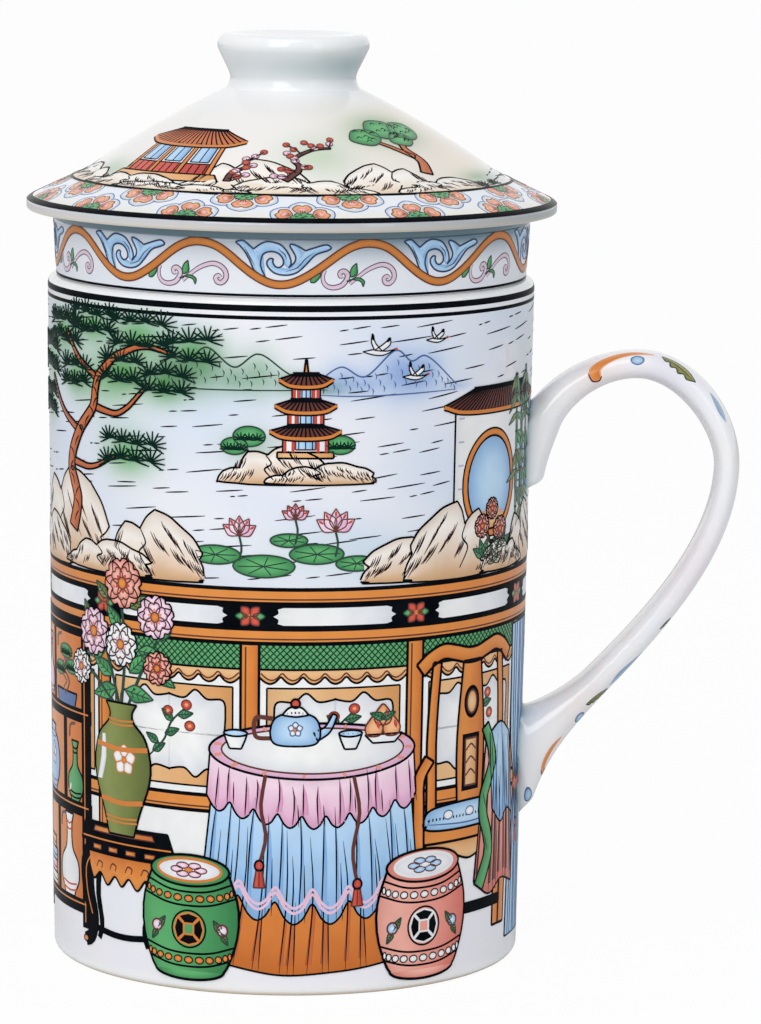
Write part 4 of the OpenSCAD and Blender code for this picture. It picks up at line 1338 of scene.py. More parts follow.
def pagoda(p, tiers):
    """A tower of shrinking storeys on a stone foot."""
    p.box("tan", -5.5, -1.2, 5.5, 0)
    y, w = 0.0, 4.4
    for _ in range(tiers):
        p.box("white", -w, y, w, y + 3, 0.2)
        p.box("blue", -w * 0.45, y + 0.5, w * 0.45, y + 2.6, 0.4, "brown", 0.26)
        for x in (-w + 0.4, -w * 0.55, w * 0.55, w - 0.4):
            p.stroke("red", [(x, y), (x, y + 3)], 0.5, 0.5)
        for x in np.linspace(-w * 0.3, w * 0.3, 3):
            p.stroke("ink", [(x, y + 0.5), (x, y + 2.6)], 0.18, 0.6)
        roof(p, -w - 1.6, w + 1.6, y + 3, 2.1, "brown", 0.8)
        y, w = y + 5.0, w * 0.78
    limb(p, "orange", [(0, y), (0, y + 1.5), (0, y + 3)], 0.9, 0.2, 1)


def garden_wall(p):
    """A white wall with a round gate, a lattice window and a tiled top."""
    p.band("white", [(0, 0), (0, 22)], [(26, 0), (26, 22)], 0, "ink", bend=False)
    p.oval("blue", 9.5, 9.5, 6.4, 7.6, 0.3, "ink", 0.4)
    p.oval("tan", 9.5, 3.6, 4.6, 1.6, 0.4, None)
    p.hoop("orange", 9.5, 9.5, 7.0, 8.2, 0.9, 0.6)
    p.hoop("ink", 9.5, 9.5, 7.6, 8.8, 0.3, 0.7)
    p.box("blue", 18.6, 7, 24.6, 15, 0.4)
    for x in np.linspace(18.6, 24.6, 5):
        p.stroke("brown", [(x, 7), (x, 15)], 0.32, 0.6)
    for y in np.linspace(7, 15, 6):
        p.stroke("brown", [(18.6, y), (24.6, y)], 0.32, 0.6)
    for y in np.linspace(1.5, 20.5, 6):
        p.stroke("lilac", [(0.8, y), (2.0, y)], 0.3, 0.3)
    roof(p, -1.5, 27.5, 21.6, 3.4, "brown", 0.9)


def lotus(p, seed=1):
    """Floating leaves and pink flowers."""
    g = np.random.default_rng(seed)
    for x, y, w in ((-9, 0, 4.2), (-1, -1.6, 5), (7.5, 0.4, 4.4), (14, -1.2, 3.4), (3, 2.6, 3)):
        p.oval("green", x, y, w, w * 0.36, 0, "dark_green", 0.28)
        for a in np.linspace(0, TAU, 8)[:-1] + g.uniform(0, 1):
            p.stroke("dark_green", [(x, y), (x + w * 0.85 * math.cos(a), y + w * 0.3 * math.sin(a))], 0.18,
                     0.3)
    for x, y, s in ((-5, 3.2, 1.0), (10.5, 4.0, 1.15), (4, 6.0, 0.8)):
        p.stroke("dark_green", [(x, y), (x + 0.4, y - 2), (x, y - 4)], 0.35, 0.3)
        for turn in (-58, 58, -30, 30, 0):
            q = p.at(x, y, s, turn)
            q.even("pink", [(0, 0), (0.9, 1.5), (0, 3.2)], 0.8, "brown", 0.2)
            q.stroke("red", [(0, 2.9), (0, 2.0)], 0.4, 1, taper=1)


def peony(p, colour, deep):
    """A full flower: an outer ring of notched petals, an inner ring and a gold heart."""
    petal = [(0, 0), (-1.5, 1.4), (-1.5, 3.0), (-0.6, 3.5), (0, 3.1), (0.6, 3.5), (1.5, 3.0), (1.5, 1.4)]
    for ring, (count, size) in enumerate(((7, 1.0), (5, 0.66))):
        for k in range(count):
            q = p.at(0, 0, size, 360 * (k + ring / 2) / count)
            q.disc(colour, petal, 0.5 * ring, "brown" if ring else "ink", 0.24)
            q.stroke(deep, [(0, 0.6), (0, 2.2)], 0.7, 0.5 * ring + 0.2, taper=1, lift=0.008)
    p.oval("orange", 0, 0, 0.8, 0.8, 1.2, "brown", 0.2)


def leaf(p, x, y, turn, size=1.0, level=0.0, colour="green"):
    """A pointed leaf with its veins."""
    q = p.at(x, y, size, turn)
    q.even(colour, [(0, 0), (1.2, 1.8), (0.7, 3.8), (0, 5.2)], level, "dark_green", 0.25)
    q.stroke("dark_green", [(0, 0.3), (0, 4.6)], 0.2, level + 0.3)
    for y0 in (1.2, 2.2, 3.2):
        for side in (-0.7, 0.7):
            q.stroke("dark_green", [(0, y0), (side, y0 + 0.7)], 0.16, level + 0.3)


def painted_flower(p, x, y, size, heart, trim, level):
    """Five white petals round an orange heart."""
    for turn in range(0, 360, 72):
        p.at(x, y, size, turn).disc("white", [(0, 0.3), (-0.8, 1.2), (0, 2), (0.8, 1.2)], level, trim, 0.2)
    p.oval("orange", x, y, heart, heart, level + 0.3, None)


def vase(p, colour, trim, shape, flower=True):
    """A pot whose half-outline is given from foot to lip, with bands and a painted flower."""
    half = np.array(shape, float)
    p.even(colour, half)
    for f in (0.12, 0.86):
        y = half[0, 1] + f * (half[-1, 1] - half[0, 1])
        w = np.interp(y, half[:, 1], half[:, 0]) * 0.97
        for dy in (-0.35, 0.35):
            p.stroke(trim, [(-w, y + dy), (0, y + dy - 0.25), (w, y + dy)], 0.3, 0.4)
    w, y = half[:, 0].max(), half[np.argmax(half[:, 0]), 1]
    p.band("white", [(-w * 0.9, y * 0.7), (-w * 0.75, y), (-w * 0.7, y * 1.3)],
           [(-w * 0.72, y * 0.7), (-w * 0.55, y), (-w * 0.58, y * 1.3)], 0.3, None)
    if flower:
        painted_flower(p, w * 0.12, y, w * 0.2, w * 0.1, trim, 0.5)


URN = [(3.0, 0), (3.2, 0.8), (4.2, 4), (6.2, 9), (6.6, 13), (5.4, 17), (3.0, 19.4), (2.6, 21), (3.6, 22.6)]
JAR = [(2.0, 0), (2.2, 0.4), (3.5, 2.4), (3.8, 4.6), (2.8, 6.6), (1.5, 7.4), (1.6, 8.4)]
BOTTLE = [(1.4, 0), (1.6, 0.5), (2.6, 2), (2.4, 4), (0.9, 5.6), (0.7, 8), (1.2, 9.4)]


def tea_things(p):
    """A pot, two cups and a dish of peaches."""
    p.stroke("brown", [(-3.8, 4.6), (-6.6, 4.6), (-6.6, 1.6), (-3.9, 1.3)], 0.7)
    limb(p, "blue", [(3.4, 1.6), (5.4, 2.8), (6.6, 5.2)], 1.6, 0.8)
    p.disc("blue", [(-4.2, 2.4), (-3.4, 0.4), (0, 0), (3.4, 0.4), (4.2, 2.4), (3.2, 4.8), (0, 5.6),
                    (-3.2, 4.8)], 0.3)
    p.band("white", [(-2.2, 5.2), (-1.2, 6.3), (0, 6.6), (1.2, 6.3), (2.2, 5.2)],
           [(-2.2, 5.2), (-1, 5.0), (0, 4.9), (1, 5.0), (2.2, 5.2)], 0.6)
    p.oval("red", 0, 7.1, 0.75, 0.75, 0.7)
    painted_flower(p, 0, 2.8, 0.62, 0.45, "deep_blue", 0.6)
    for x in (9.3, -10):
        p.at(x, 0).even("white", [(1, -0.6), (1.7, 1), (2, 2)], 0.4)
        p.oval("blue", x, 2, 2, 0.55, 0.7)
    p.band("white", [(13.2, 0.2), (11.8, 1.6)], [(17.2, 0.2), (18.6, 1.6)], 0.3)
    for x, y in ((13.4, 2.7), (16.6, 2.7), (15, 4.6)):
        p.disc("peach", [(x - 1.6, y), (x - 1, y - 1.3), (x + 1, y - 1.3), (x + 1.6, y), (x + 0.8, y + 1.3),
                         (x, y + 2), (x - 0.8, y + 1.3)], 0.5 + 0.01 * y, "brown", 0.26)
        p.stroke("red", [(x + 0.5, y + 1.2), (x + 0.9, y - 0.2)], 0.6, 0.8, taper=1)
    leaf(p, 14.6, 4.2, -70, 0.55, 1)
    leaf(p, 15.4, 4.2, 70, 0.55, 1)


def tassel(p, path, level=0.0):
    """A knotted cord that ends in a tassel."""
    p.stroke("brown", path, 0.62, level)
    x, y = path[-1]
    p.oval("red", x, y, 0.7, 0.8, level + 0.3)
    p.at(x, y).even("red", [(0.45, -0.6), (0.9, -3.4)], level + 0.2, "brown", 0.25)
    p.stroke("brown", [(x, y - 0.8), (x, y - 3.2)], 0.2, level + 0.5)


def round_table(p):
    """A round table under two cloths, with cords and tassels."""
    cloth(p, "orange", "bark", [(-14.5, 28), (0, 24), (14.5, 28)],
          [(-18.5, 1.6), (-12, 0.2), (-5, -0.9), (2, -0.6), (9, 0.1), (18, 1.8)], 13, 0, lean=0.4, seed=2)
    cloth(p, "blue", "mid_blue", [(-15.5, 31), (0, 27), (15.5, 31)],
          scallops(-17.6, 17.4, 12.5, 6, 3.2, 2.4), 12, 0.6, seed=3)
    for rise in (1.5, 2.3):
        p.stroke("pink", scallops(-17.3, 17.1, 12.5 + rise, 6, 3.0, 2.4), 0.45, 1.1)
    cloth(p, "pink", "mid_pink", [(-16.2, 34), (0, 29.4), (16.2, 34)],
          scallops(-16.8, 16.8, 26.6, 9, 1.9, 3.0), 14, 1.3, seed=4)
    p.oval("pink", 0, 33.6, 16.4, 4.3, 1.8, "ink", 0.4)
    p.oval("white", 0, 33.7, 14.4, 3.5, 2.0, "brown", 0.3)
    for a in np.radians(np.arange(0, 360, 24)):
        c, s = math.cos(a), math.sin(a)
        p.stroke("salmon", [(14.7 * c, 33.7 + 3.65 * s), (15.9 * c, 33.6 + 4.1 * s)], 0.5, 2.1)
    tassel(p, [(-7.5, 30), (-8.2, 25), (-7.4, 20.5), (-8.4, 16)], 2)
    tassel(p, [(6.2, 29.6), (7.2, 24), (6.2, 18), (7, 13)], 2)
    tea_things(p.at(-3, 34.4, 0.92, level=2.2))


def armchair(p):
    """A yoke-backed chair with a splat, a cushion and a robe thrown over one arm."""
    for x in (-8.6, 8.6):
        limb(p, "orange", [(x, 0), (x, 20), (x * 1.02, 33), (x * 0.92, 44)], 2.1, 1.7, 0, "ink", 0.45)
    limb(p, "orange", [(-11.2, 43), (-7, 45.6), (0, 44.4), (7, 45.6), (11.2, 43)], 2.4, 2.4, 0.3, "ink",
         0.45)
    p.even("orange", [(3, 19), (3.4, 31), (2.2, 43.6)], 0.2, "ink", 0.45)
    p.oval("ink", 0, 37, 1.9, 2.6, 0.5, None)
    p.oval("tan", 0, 37, 1.2, 1.8, 0.8, "brown")
    p.box("ink", -2.1, 23, 2.1, 32, 0.5, None)
    p.box("tan", -1.4, 23.8, 1.4, 31.2, 0.8, "brown")
    for y in (25.4, 27.4, 29.4):
        p.stroke("brown", [(-1.2, y), (0, y + 0.9), (1.2, y)], 0.3, 1.1)
    p.even("orange", [(11.5, 15.4), (9, 19.2)], 0.8, "ink", 0.45, bend=False)
    p.disc("blue", [(-10, 19.4), (-9, 17.6), (0, 17.2), (9, 17.6), (10, 19.4), (8, 21), (0, 21.5),
                    (-8, 21)], 1.1, "ink", 0.4)
    p.stroke("deep_blue", [(-9, 18.5), (0, 18.0), (9, 18.5)], 0.26, 1.4, taper=0.5)
    for x in (-5, 0, 5):
        p.oval("white", x, 19.7, 1.0, 0.7, 1.4, "deep_blue", 0.2)
    for x in (-10.6, 10.6):
        limb(p, "orange", [(x * 0.86, 29), (x, 28.4), (x * 1.05, 22), (x, 0)], 2.0, 2.1, 1.2, "ink", 0.45)
    p.box("ink", -9.8, 3.4, 9.8, 4.9, 1)
    p.band("tan", [(-9.6, 11.2), (-5, 13.4), (0, 12.2), (5, 13.4), (9.6, 11.2)],
           [(-9.6, 15.4), (-5, 15.4), (0, 15.4), (5, 15.4), (9.6, 15.4)], 1, "ink", 0.4)
    cloth(p, "salmon", "brown", [(4.2, 30.4), (8, 31.8), (12.6, 29.4)],
          [(1.6, 8), (6, 5.4), (10.4, 7.2), (15.4, 5.8)], 8, 1.8, seed=11)
    cloth(p, "blue", "mid_blue", [(5.2, 31.2), (8.8, 32.6), (12.2, 30.6)],
          [(6.4, 19), (9.6, 16.4), (12, 18.2), (14.6, 17)], 5, 2.4, seed=12)
    limb(p, "green", [(3.8, 32.6), (6.2, 27), (3.4, 20), (5.6, 13), (2.8, 7)], 2.0, 2.6, 2.7, "ink", 0.35)
    for x, y in ((5.4, 27), (4.2, 21), (5, 14)):
        p.stroke("dark_green", [(x - 0.8, y + 1.2), (x + 0.3, y - 1.6)], 0.3, 3, taper=1)


def shelves(p):
    """A black and orange cabinet of open shelves with pots, books and a small tree."""
    p.box("orange", 0.6, 2, 23.4, 50)
    for x, y0, y1 in ((11, 2, 19), (15, 19, 35), (9, 35, 50)):
        p.box("ink", x - 0.8, y0, x + 0.8, y1, 0.6, None)
    for y in (1.4, 18, 34, 48.6):
        p.box("ink", -0.6, y, 25, y + 2.4, 0.8, None)
        p.stroke("orange", [(0.5, y + 1.6), (24, y + 1.6)], 0.26, 1.2)
    for x in (-0.4, 21.8):
        p.box("ink", x, -1, x + 3.0, 51, 0.9, None)
        p.stroke("orange", [(x + 1, 0), (x + 1, 50)], 0.26, 1.3)
    for x, y in ((2, 17), (12.5, 17), (2, 33), (17, 33), (2, 47.5), (11, 47.5)):
        p.stroke("brown", [(x, y - 2), (x + 0.4, y), (x + 2.4, y + 0.6)], 0.5, 0.6)
    vase(p.at(6.4, 20.2, 1.35, level=1), "blue", "deep_blue", JAR)
    for x, y, size, colour, trim in ((16.6, 3.7, 1.5, "white", "red"), (19.3, 20.2, 1.1, "green", "ink"),
                                     (5.0, 36.2, 1.15, "pink", "brown")):
        vase(p.at(x, y, size, level=1), colour, trim, BOTTLE, False)
    for k, (colour, w) in enumerate((("white", 6.6), ("pink", 6.0), ("blue", 6.4), ("tan", 5.6))):
        p.box(colour, 2.6 + 0.2 * (k % 2), 3.7 + 2.1 * k, 2.6 + w, 5.8 + 2.1 * k, 1)
        p.stroke("ink", [(3.6, 4.5 + 2.1 * k), (2.2 + w, 4.5 + 2.1 * k)], 0.18, 1.3)
    p.band("deep_blue", [(11.6, 36.2), (10.8, 38.6)], [(19.4, 36.2), (20.2, 38.6)], 1)
    limb(p, "orange", [(15, 38.5), (16.6, 40.4), (14.2, 42), (15.8, 44.4)], 1.2, 0.5, 1.2, "brown")
    for x, y, w in ((12.8, 42.2, 2.5), (18.2, 43.0, 2.6), (15.6, 45.4, 2.8)):
        p.oval("green", x, y, w, 1.2, 1.4, "dark_green", 0.25)
        for dx in (-1.4, 0, 1.4):
            tuft(p, x + dx, y - 0.4, 1.4, 0, 1.7, 7)
    p.box("ink", -2, 50.2, 26, 52, 1.2, None)


def flower_urn(p):
    """A tall urn of peonies."""
    for path in ([(0, 21), (-3, 30), (-6, 36)], [(0, 21), (1, 32), (0, 41)], [(1, 21), (5, 29), (8, 34)],
                 [(0, 21), (-6, 26), (-10, 28)]):
        p.stroke("dark_green", path, 0.55)
    for x, y, turn, size in ((-2, 27, 60, 1.1), (-4, 31, 100, 1), (2, 28, -50, 1.1), (4, 32, -95, 1),
                             (0, 35, 40, 1), (-8, 29, 130, 1), (7, 29, -120, 1), (1, 25, -100, 1.2),
                             (-1, 25, 105, 1.2), (-7.5, 35, 30, 0.9), (8.8, 34, -20, 1), (2, 39, -60, 0.9),
                             (-3, 40, 50, 0.8)):
        leaf(p, x, y, turn, size, 0.3, "green" if size > 0.95 else "olive")
    for x, y, size, colour, deep in ((-7, 34, 1.15, "pink", "salmon"), (0.5, 43, 1.2, "salmon", "red"),
                                     (7.6, 38, 1.05, "pink", "salmon"), (-11, 27.4, 0.85, "white", "pink"),
                                     (0, 32.6, 1.05, "white", "pink"), (8, 29.4, 0.8, "salmon", "red")):
        peony(p.at(x, y, size, 15 * x, level=1), colour, deep)
    vase(p.at(0, 0, level=2.2), "olive", "orange", URN)
    for y, w in ((6.0, 4.9), (15.2, 6.0)):
        p.stroke("orange", [(-w, y), (0, y - 0.5), (w, y)], 0.8, 2.6)


def balustrade(p, bays, step):
    """A garden rail: two orange rails, notched white panels, rosettes, green lattice and framed boards."""
    x1 = bays * step
    p.box("white", 0, 18, x1, 52, 0, None)
    for a, b in ((64.0, 66.3), (57.6, 59.9), (30, 32.6)):
        p.box("orange", 0, a, x1, b, 0.8, None)
        for y in (a, b):
            p.stroke("ink", [(0, y), (x1, y)], 0.6, 1.0)
        p.stroke("brown", [(0, a + 0.7), (x1, a + 0.7)], 0.25, 1.0)
    p.box("ink", 0, 59.9, x1, 64.0, 0.2, None)
    p.box("green", 0, 53.4, x1, 57.6, 0.2, None)
    for x in np.arange(0, x1 - 3, 1.08):
        p.stroke("dark_green", [(x, 53.6), (x + 3.8, 57.4)], 0.24, 0.4)
        p.stroke("ink", [(x, 57.4), (x + 3.8, 53.6)], 0.17, 0.4)
    band_y = 61.95
    notch = np.array([(3.5, band_y), (4.5, 62.5), (4.3, 63.2), (5.4, 63.5)])
    board = np.array([(4.2, 42.5), (4.2, 47.8), (7.2, 48.2), (9.2, 49.6), (11.2, 48.2), (step / 2, 48.6)])
    for x in np.arange(bays) * step:
        q = p.at(x, band_y)
        for turn in (45, 135, 225, 315):
            petal = q.at(0, 0, 0.62, turn)
            petal.disc("red", [(0, 0.2), (-1.2, 1.7), (0, 3.3), (1.2, 1.7)], 1.1, "brown", 0.2)
        for turn in (90, 270):
            blade = q.at(0, 0, 0.8, turn)
            blade.disc("green", [(0, 0.5), (-0.7, 1.8), (0, 3.0), (0.7, 1.8)], 1.0, "dark_green", 0.2)
        q.oval("orange", 0, 0, 0.42, 0.42, 1.4, None)
        left = np.vstack([notch[::-1], notch[1:] * (1, -1) + (0, 2 * band_y)])
        bay = p.at(x, 0)
        bay.band("white", left, left * (-1, 1) + (step, 0), 0.7, "ink", 0.25, bend=False)
        p.box("orange", x - 1.5, 22, x + 1.5, 57.5, 1.0, "ink", 0.45)
        p.stroke("brown", [(x - 0.7, 24), (x - 0.7, 57)], 0.28, 1.3)
        far = step - 1.5
        bay.band("tan", [(1.5, 53.4), (far, 53.4)], scallops(1.5, far, 52.2, 7, 1.1), 0.9, "ink", 0.35)
        bay.stroke("brown", scallops(1.8, far - 0.3, 52.8, 7, 1.1), 0.25, 1.1)
        bay.box("tan", 2.8, 50.4, step - 2.8, 34, 0.4, "ink", 0.3)
        edge = np.vstack([board, (board * (-1, 1) + (step, 0))[::-1]])
        edge = np.vstack([edge, (edge * (1, -1) + (0, 85))[::-1]])
        bay.disc("white", edge, 0.7, "ink", 0.35)
        spray = p.at(x + step / 2, 38)
        spray.stroke("dark_green", [(-4, 0), (-1, 3), (0.4, 6), (3, 8.6)], 0.4, 1.0, taper=0.5)
        for x2, y2, turn in ((-2, 2.4, 60), (-0.8, 4, -70), (0.8, 6.2, 50), (1.6, 7.2, -80),
                             (-3.2, 1, -60)):
            leaf(spray, x2, y2, turn, 0.55, 1.1)
        for x2, y2 in ((3.2, 9), (-0.2, 7.8), (3.8, 5.6)):
            spray.oval("red", x2, y2, 0.9, 0.8, 1.3, "brown", 0.2)
            spray.oval("peach", x2, y2, 0.35, 0.3, 1.5, None)


GREEN_RIDGE = [(-25, 98.6), (-20, 102.5), (-17, 102.0), (-13.5, 104.6), (-9, 101.6), (-5, 103.8),
               (0, 100.6), (6, 98.6)]
BLUE_RIDGE = [(4, 99.2), (8, 101.8), (12, 100.2), (17, 104.2), (20, 102.4), (23, 103), (29, 98.2)]


def upper_view(p):
    """Lake view above the rail: pine on rocks, islands, a pagoda, cranes, lotus and a garden wall."""
    for ridge, colour, foot in ((GREEN_RIDGE, "dark_green", 98.2), (BLUE_RIDGE, "deep_blue", 97.4)):
        p.stroke(colour, ridge, 0.27, 0, taper=0.3)
        p.stroke(colour, [(ridge[0][0], foot), (ridge[2][0], foot - 0.3), (ridge[-1][0], foot)], 0.22, 0,
                 taper=0.7)
        for x in np.arange(ridge[0][0] + 2, ridge[-1][0] - 1, 1.9):
            y = np.interp(x, *np.array(ridge).T)
            for k in range(3):
                a = np.array([x + 0.7 * k, foot + (y - foot) * (0.82 - 0.24 * k)])
                p.stroke(colour, [a, a + (0.3, -0.5), a + (0.2, -1.1)], 0.2, 0, taper=0.9)
    rock(p.at(1, 83.4, level=1), 24, 6.2, 2, 21)
    pagoda(p.at(2.5, 88.3, 0.82, level=1.3), 3)
    tree = p.at(-6.5, 87.5)
    for x, y, w in ((0, 3.2, 2.6), (-2.4, 1.6, 2.2), (14.6, 1.9, 2.4)):
        tree.oval("green", x, y, w, w * 0.62, 1.5, "dark_green", 0.26)
        for dx in (-1, 0, 1):
            tuft(tree, x + dx * w * 0.5, y - 0.4, 1.3, 0, 1.8, 7)
    for x, y, size in ((14, 104, 0.95), (20.5, 99.8, 0.8), (24.5, 105.5, 0.7)):
        crane(p.at(x, y, size, -8, level=1))
    rock(p.at(-47, 68.4, level=1), 26, 16, 1, 31)
    rock(p.at(-29.5, 67.4, level=1.5), 30, 10.5, 2, 32)
    rock(p.at(-54, 67, level=1.9), 18, 8, 1, 33)
    pine(p.at(*PINE_AT, level=2))
    lotus(p.at(-3, 71.6, level=1), 4)
    rock(p.at(22, 67.4, level=2.2), 20, 7, 1, 34)
    garden_wall(p.at(29, 72, level=1.4))
    bamboo(p.at(47.4, 68, level=2.6), 33, 3, 9)
    rock(p.at(31, 67.4, level=3), 20, 12.5, 1, 35)
    rock(p.at(47, 67.4, level=3.4), 22, 10, 2, 36)
    for x, y in ((36.5, 69.5), (39.6, 68.2), (42, 70.6)):
        for turn in (-60, -20, 20, 60):
            leaf(p, x, y, turn, 0.62, 3.8)
    for x, y, size in ((36, 74.6, 0.55), (41.4, 73.6, 0.6), (38.8, 77.2, 0.5)):
        peony(p.at(x, y, size, level=3.9), "salmon", "red")


def flower_stand(p):
    """A black lacquer stand on four bowed legs, with an orange cloud apron and a foot rail."""
    for x, h in ((-5.4, 1.6), (5.4, 1.6)):
        limb(p, "ink", [(x, 14), (x * 1.1, 9), (x * 0.9, 4), (x * 1.05, h)], 1.3, 1.0, 0, None)
    limb(p, "ink", [(-8, 3.4), (0, 2.6), (8, 3.4)], 1.0, 1.0, 0.2, None)
    for x in (-1, 1):
        q = p.at(0, 0, 1, 0, x)
        limb(q, "ink", [(7.4, 15.6), (9.0, 13), (8.8, 9), (7.3, 4.6), (7.9, 1.6), (9.6, 0.7)], 4.4, 2.2,
             0.6, None)
        q.stroke("orange", [(7.6, 15), (9.3, 12.6), (9.0, 8.8), (7.5, 5.2)], 0.26, 1)
        q.oval("orange", 9.5, 0.9, 0.7, 0.5, 1, "ink", 0.2)
    p.band("orange", [(-8.2, 13.4), (-7, 11.2), (-5.2, 12.4), (-3.4, 10.6), (-1.6, 12.2), (0, 10.8),
                      (1.6, 12.2), (3.4, 10.6), (5.2, 12.4), (7, 11.2), (8.2, 13.4)],
           np.stack([np.linspace(-8.4, 8.4, 11), np.full(11, 15.8)], 1), 0.8, "ink", 0.36)
    for x in (-5.2, -1.8, 1.8, 5.2):
        p.stroke("brown", [(x - 1, 13.2), (x - 0.4, 14.2), (x + 0.5, 13.9), (x + 0.3, 13.1)], 0.28, 1.1,
                 taper=0.4)
    p.box("ink", -8.8, 15.4, 8.8, 17.4, 1, None)
    for x in np.linspace(-6, 6, 4):
        p.box("orange", x - 1.0, 16.1, x + 1.0, 16.8, 1.3, "brown", 0.18)
    p.even("ink", [(10.6, 17.2), (9.4, 20.4)], 1.2, bend=False)
    p.even("orange", [(6.9, 19.0), (6.5, 19.8)], 1.6, "brown", 0.2, bend=False)
    p.stroke("orange", [(-10.1, 17.8), (10.1, 17.8)], 0.26, 1.6)


DRUM = [(6.2, 0), (7.0, 1.2), (8.4, 5), (8.9, 8.6), (8.6, 12), (7.4, 15.6), (6.9, 16.8)]


def drum_stool(p, colour, trim, flower):
    """A porcelain garden stool like a barrel: a painted seat, two rows of bosses and a pierced coin."""
    p.oval(colour, 0, 0.1, 6.3, 1.6, 0, "ink", 0.45)
    p.even(colour, DRUM, 0.7, "ink", 0.42, ends=False)
    for y, w, drop in ((2.0, 7.3, 1.3), (4.4, 8.2, 1.5), (12.6, 8.4, 1.7), (14.9, 7.7, 1.7)):
        p.stroke("ink", [(-w, y), (-w * 0.5, y - drop * 0.8), (0, y - drop), (w * 0.5, y - drop * 0.8),
                         (w, y)], 0.34, 1.0)
    for y, wide, drop in ((3.2, 7.6, 1.4), (13.8, 7.9, 1.7)):
        for a in np.radians(np.arange(-75, 76, 15)):
            p.oval(trim, wide * math.sin(a), y - drop * math.cos(a), 0.62 * math.cos(a) + 0.14, 0.56, 1.2,
                   "ink", 0.2)
    for turn in (0, 90, 180, 270):
        p.at(0, 7.0, 1, turn).even("ink", [(1.0, 0.9), (1.9, 2.0), (0, 2.7)], 1.2, trim, 0.3)
    p.hoop("ink", 0, 7.0, 3.1, 3.1, 0.3, 1.4, 16)
    for side in (-1, 1):
        spray = p.at(5.9 * side, 6.4, 0.62, 0, side)
        leaf(spray, 0, 0.4, 35, 0.8, 1.2, "olive")
        leaf(spray, 0, 0.4, -150, 0.7, 1.2, "olive")
        spray.oval(flower, 0.2, 1.2, 1.5, 1.5, 1.5, "brown", 0.3)
        spray.oval("white", 0.2, 1.2, 0.5, 0.5, 1.8, None)
    p.oval(colour, 0, 16.8, 7.2, 2.6, 1.6, "ink", 0.4)
    p.oval("white", 0, 16.9, 5.8, 1.9, 1.9, trim, 0.45)
    for turn in np.arange(0, 360, 60):
        a = math.radians(turn)
        p.oval(flower, 2.2 * math.cos(a), 16.9 + 0.8 * math.sin(a), 1.1, 0.5, 2.2, "brown", 0.2)
    p.oval(trim, 0, 16.9, 0.8, 0.36, 2.5, None)


def drape(p, width, top, foot, colour, shade, tie, seed=1):
    """A curtain gathered to one side by a tied cord."""
    g = np.random.default_rng(seed)
    left = [(0, top), (0.6, tie + 8), (width * 0.3, tie), (0.8, tie - 9), (0, foot)]
    right = [(width, top), (width * 0.95, tie + 9), (width * 0.62, tie), (width * 0.85, tie - 8),
             (width, foot)]
    p.band(colour, left, right)
    for f in np.linspace(0.12, 0.88, 6) + g.uniform(-0.03, 0.03, 6):
        path = (1 - f) * np.array(left) + f * np.array(right)
        p.band(shade, path + (0.4, 0), path - (0.25, 0), 0.4, None)
        p.stroke("ink", path, 0.28, 0.8, taper=0.6)
    limb(p, "red", [(width * 0.26, tie + 0.3), (width * 0.46, tie - 0.5), (width * 0.66, tie + 0.3)], 1.6,
         1.6, 1.2, "brown")
    tassel(p, [(width * 0.5, tie - 0.4), (width * 0.56, tie - 4), (width * 0.5, tie - 7)], 1.4)


def terrace(p, curtain):
    """Furniture on the terrace in front of the rail; curtain is the drape's colour and its shade."""
    shelves(p.at(-62, 8, 0.97, level=0.4))
    flower_stand(p.at(-30, 4.6, 1.02, level=1.6))
    flower_urn(p.at(-30, 24.2, 0.96, level=2.4))
    armchair(p.at(34.5, 7.6, 1.04, level=0.6))
    round_table(p.at(4.5, 4.6, 1.06, level=1.6))
    drum_stool(p.at(-16.4, 3.6, 0.98, level=5), "green", "orange", "pink")
    drum_stool(p.at(24.4, 3.3, 1.02, level=4.8), "salmon", "white", "blue")
    drape(p.at(48, 0, level=1), 9.5, 57, 4.6, *curtain, 30, seed=4)


# ---- soft washes of colour under the drawing, with painted shade and shadow on the lid and the collar

VIEW_LEFT, BACK_AT = -62, 127.3  # left end of the front picture, and the middle of the mirrored one behind
LAKE_FOOT, LAKE_TOP = 65, 109.7  # heights between which the mug's wall is painted as water
LID_MEAN = 28.0                  # radius at which the lid's picture keeps its widths
LID_BACK = math.pi * LID_MEAN
LID_SPOTS = [(21, 25.5, 9, 4.5, "56A862", 0.85), (-32, 13, 5, 3, "5FAE66", 0.5),
             (32, 11.5, 5, 2, "5FAE66", 0.7), (-42, 11, 9, 2, "C9DEF2", 0.9), (39, 11, 8, 2, "C9DEF2", 0.9),
             (4, 19, 6, 5, "9FCF9A", 0.5)]
HANDLE_SPOTS = [(50, 98, 5, 5, "FBF1EE", 1), (62, 98, 5, 5, "F1F0F8", 1), (66, 66, 8, 8, "FBF5F6", 1),
                (47, 44, 6, 6, "FCF4EF", 1)]


def tint(colour, *shares):
    """Multiplies colour by tints: each is a share at every point, from none 0 to full 1, and a colour."""
    for share, code in shares:
        colour[:, :3] *= 1 - share[:, None] * (1 - np.array(linear(code))[:3])


def soften(u, v, spots, colour):
    """Tints soft spots, exp(-(du/wide)^2 - (dv/high)^2): a middle, two reaches, a tint and a strength."""
    for u0, v0, wide, high, code, strength in spots:
        tint(colour, (strength * np.exp(-((u - u0) / wide) ** 2 - ((v - v0) / high) ** 2), code))
    return colour


def on_half(x, y, radius, middle):
    """Distance across from the nearer picture's middle at a radius: the far picture is mirrored."""
    whole = TAU * radius
    u = ((np.arctan2(y, x) - FRONT) % TAU * radius - VIEW_LEFT) % whole + VIEW_LEFT
    return np.where(u > middle / 2, middle - u, u)


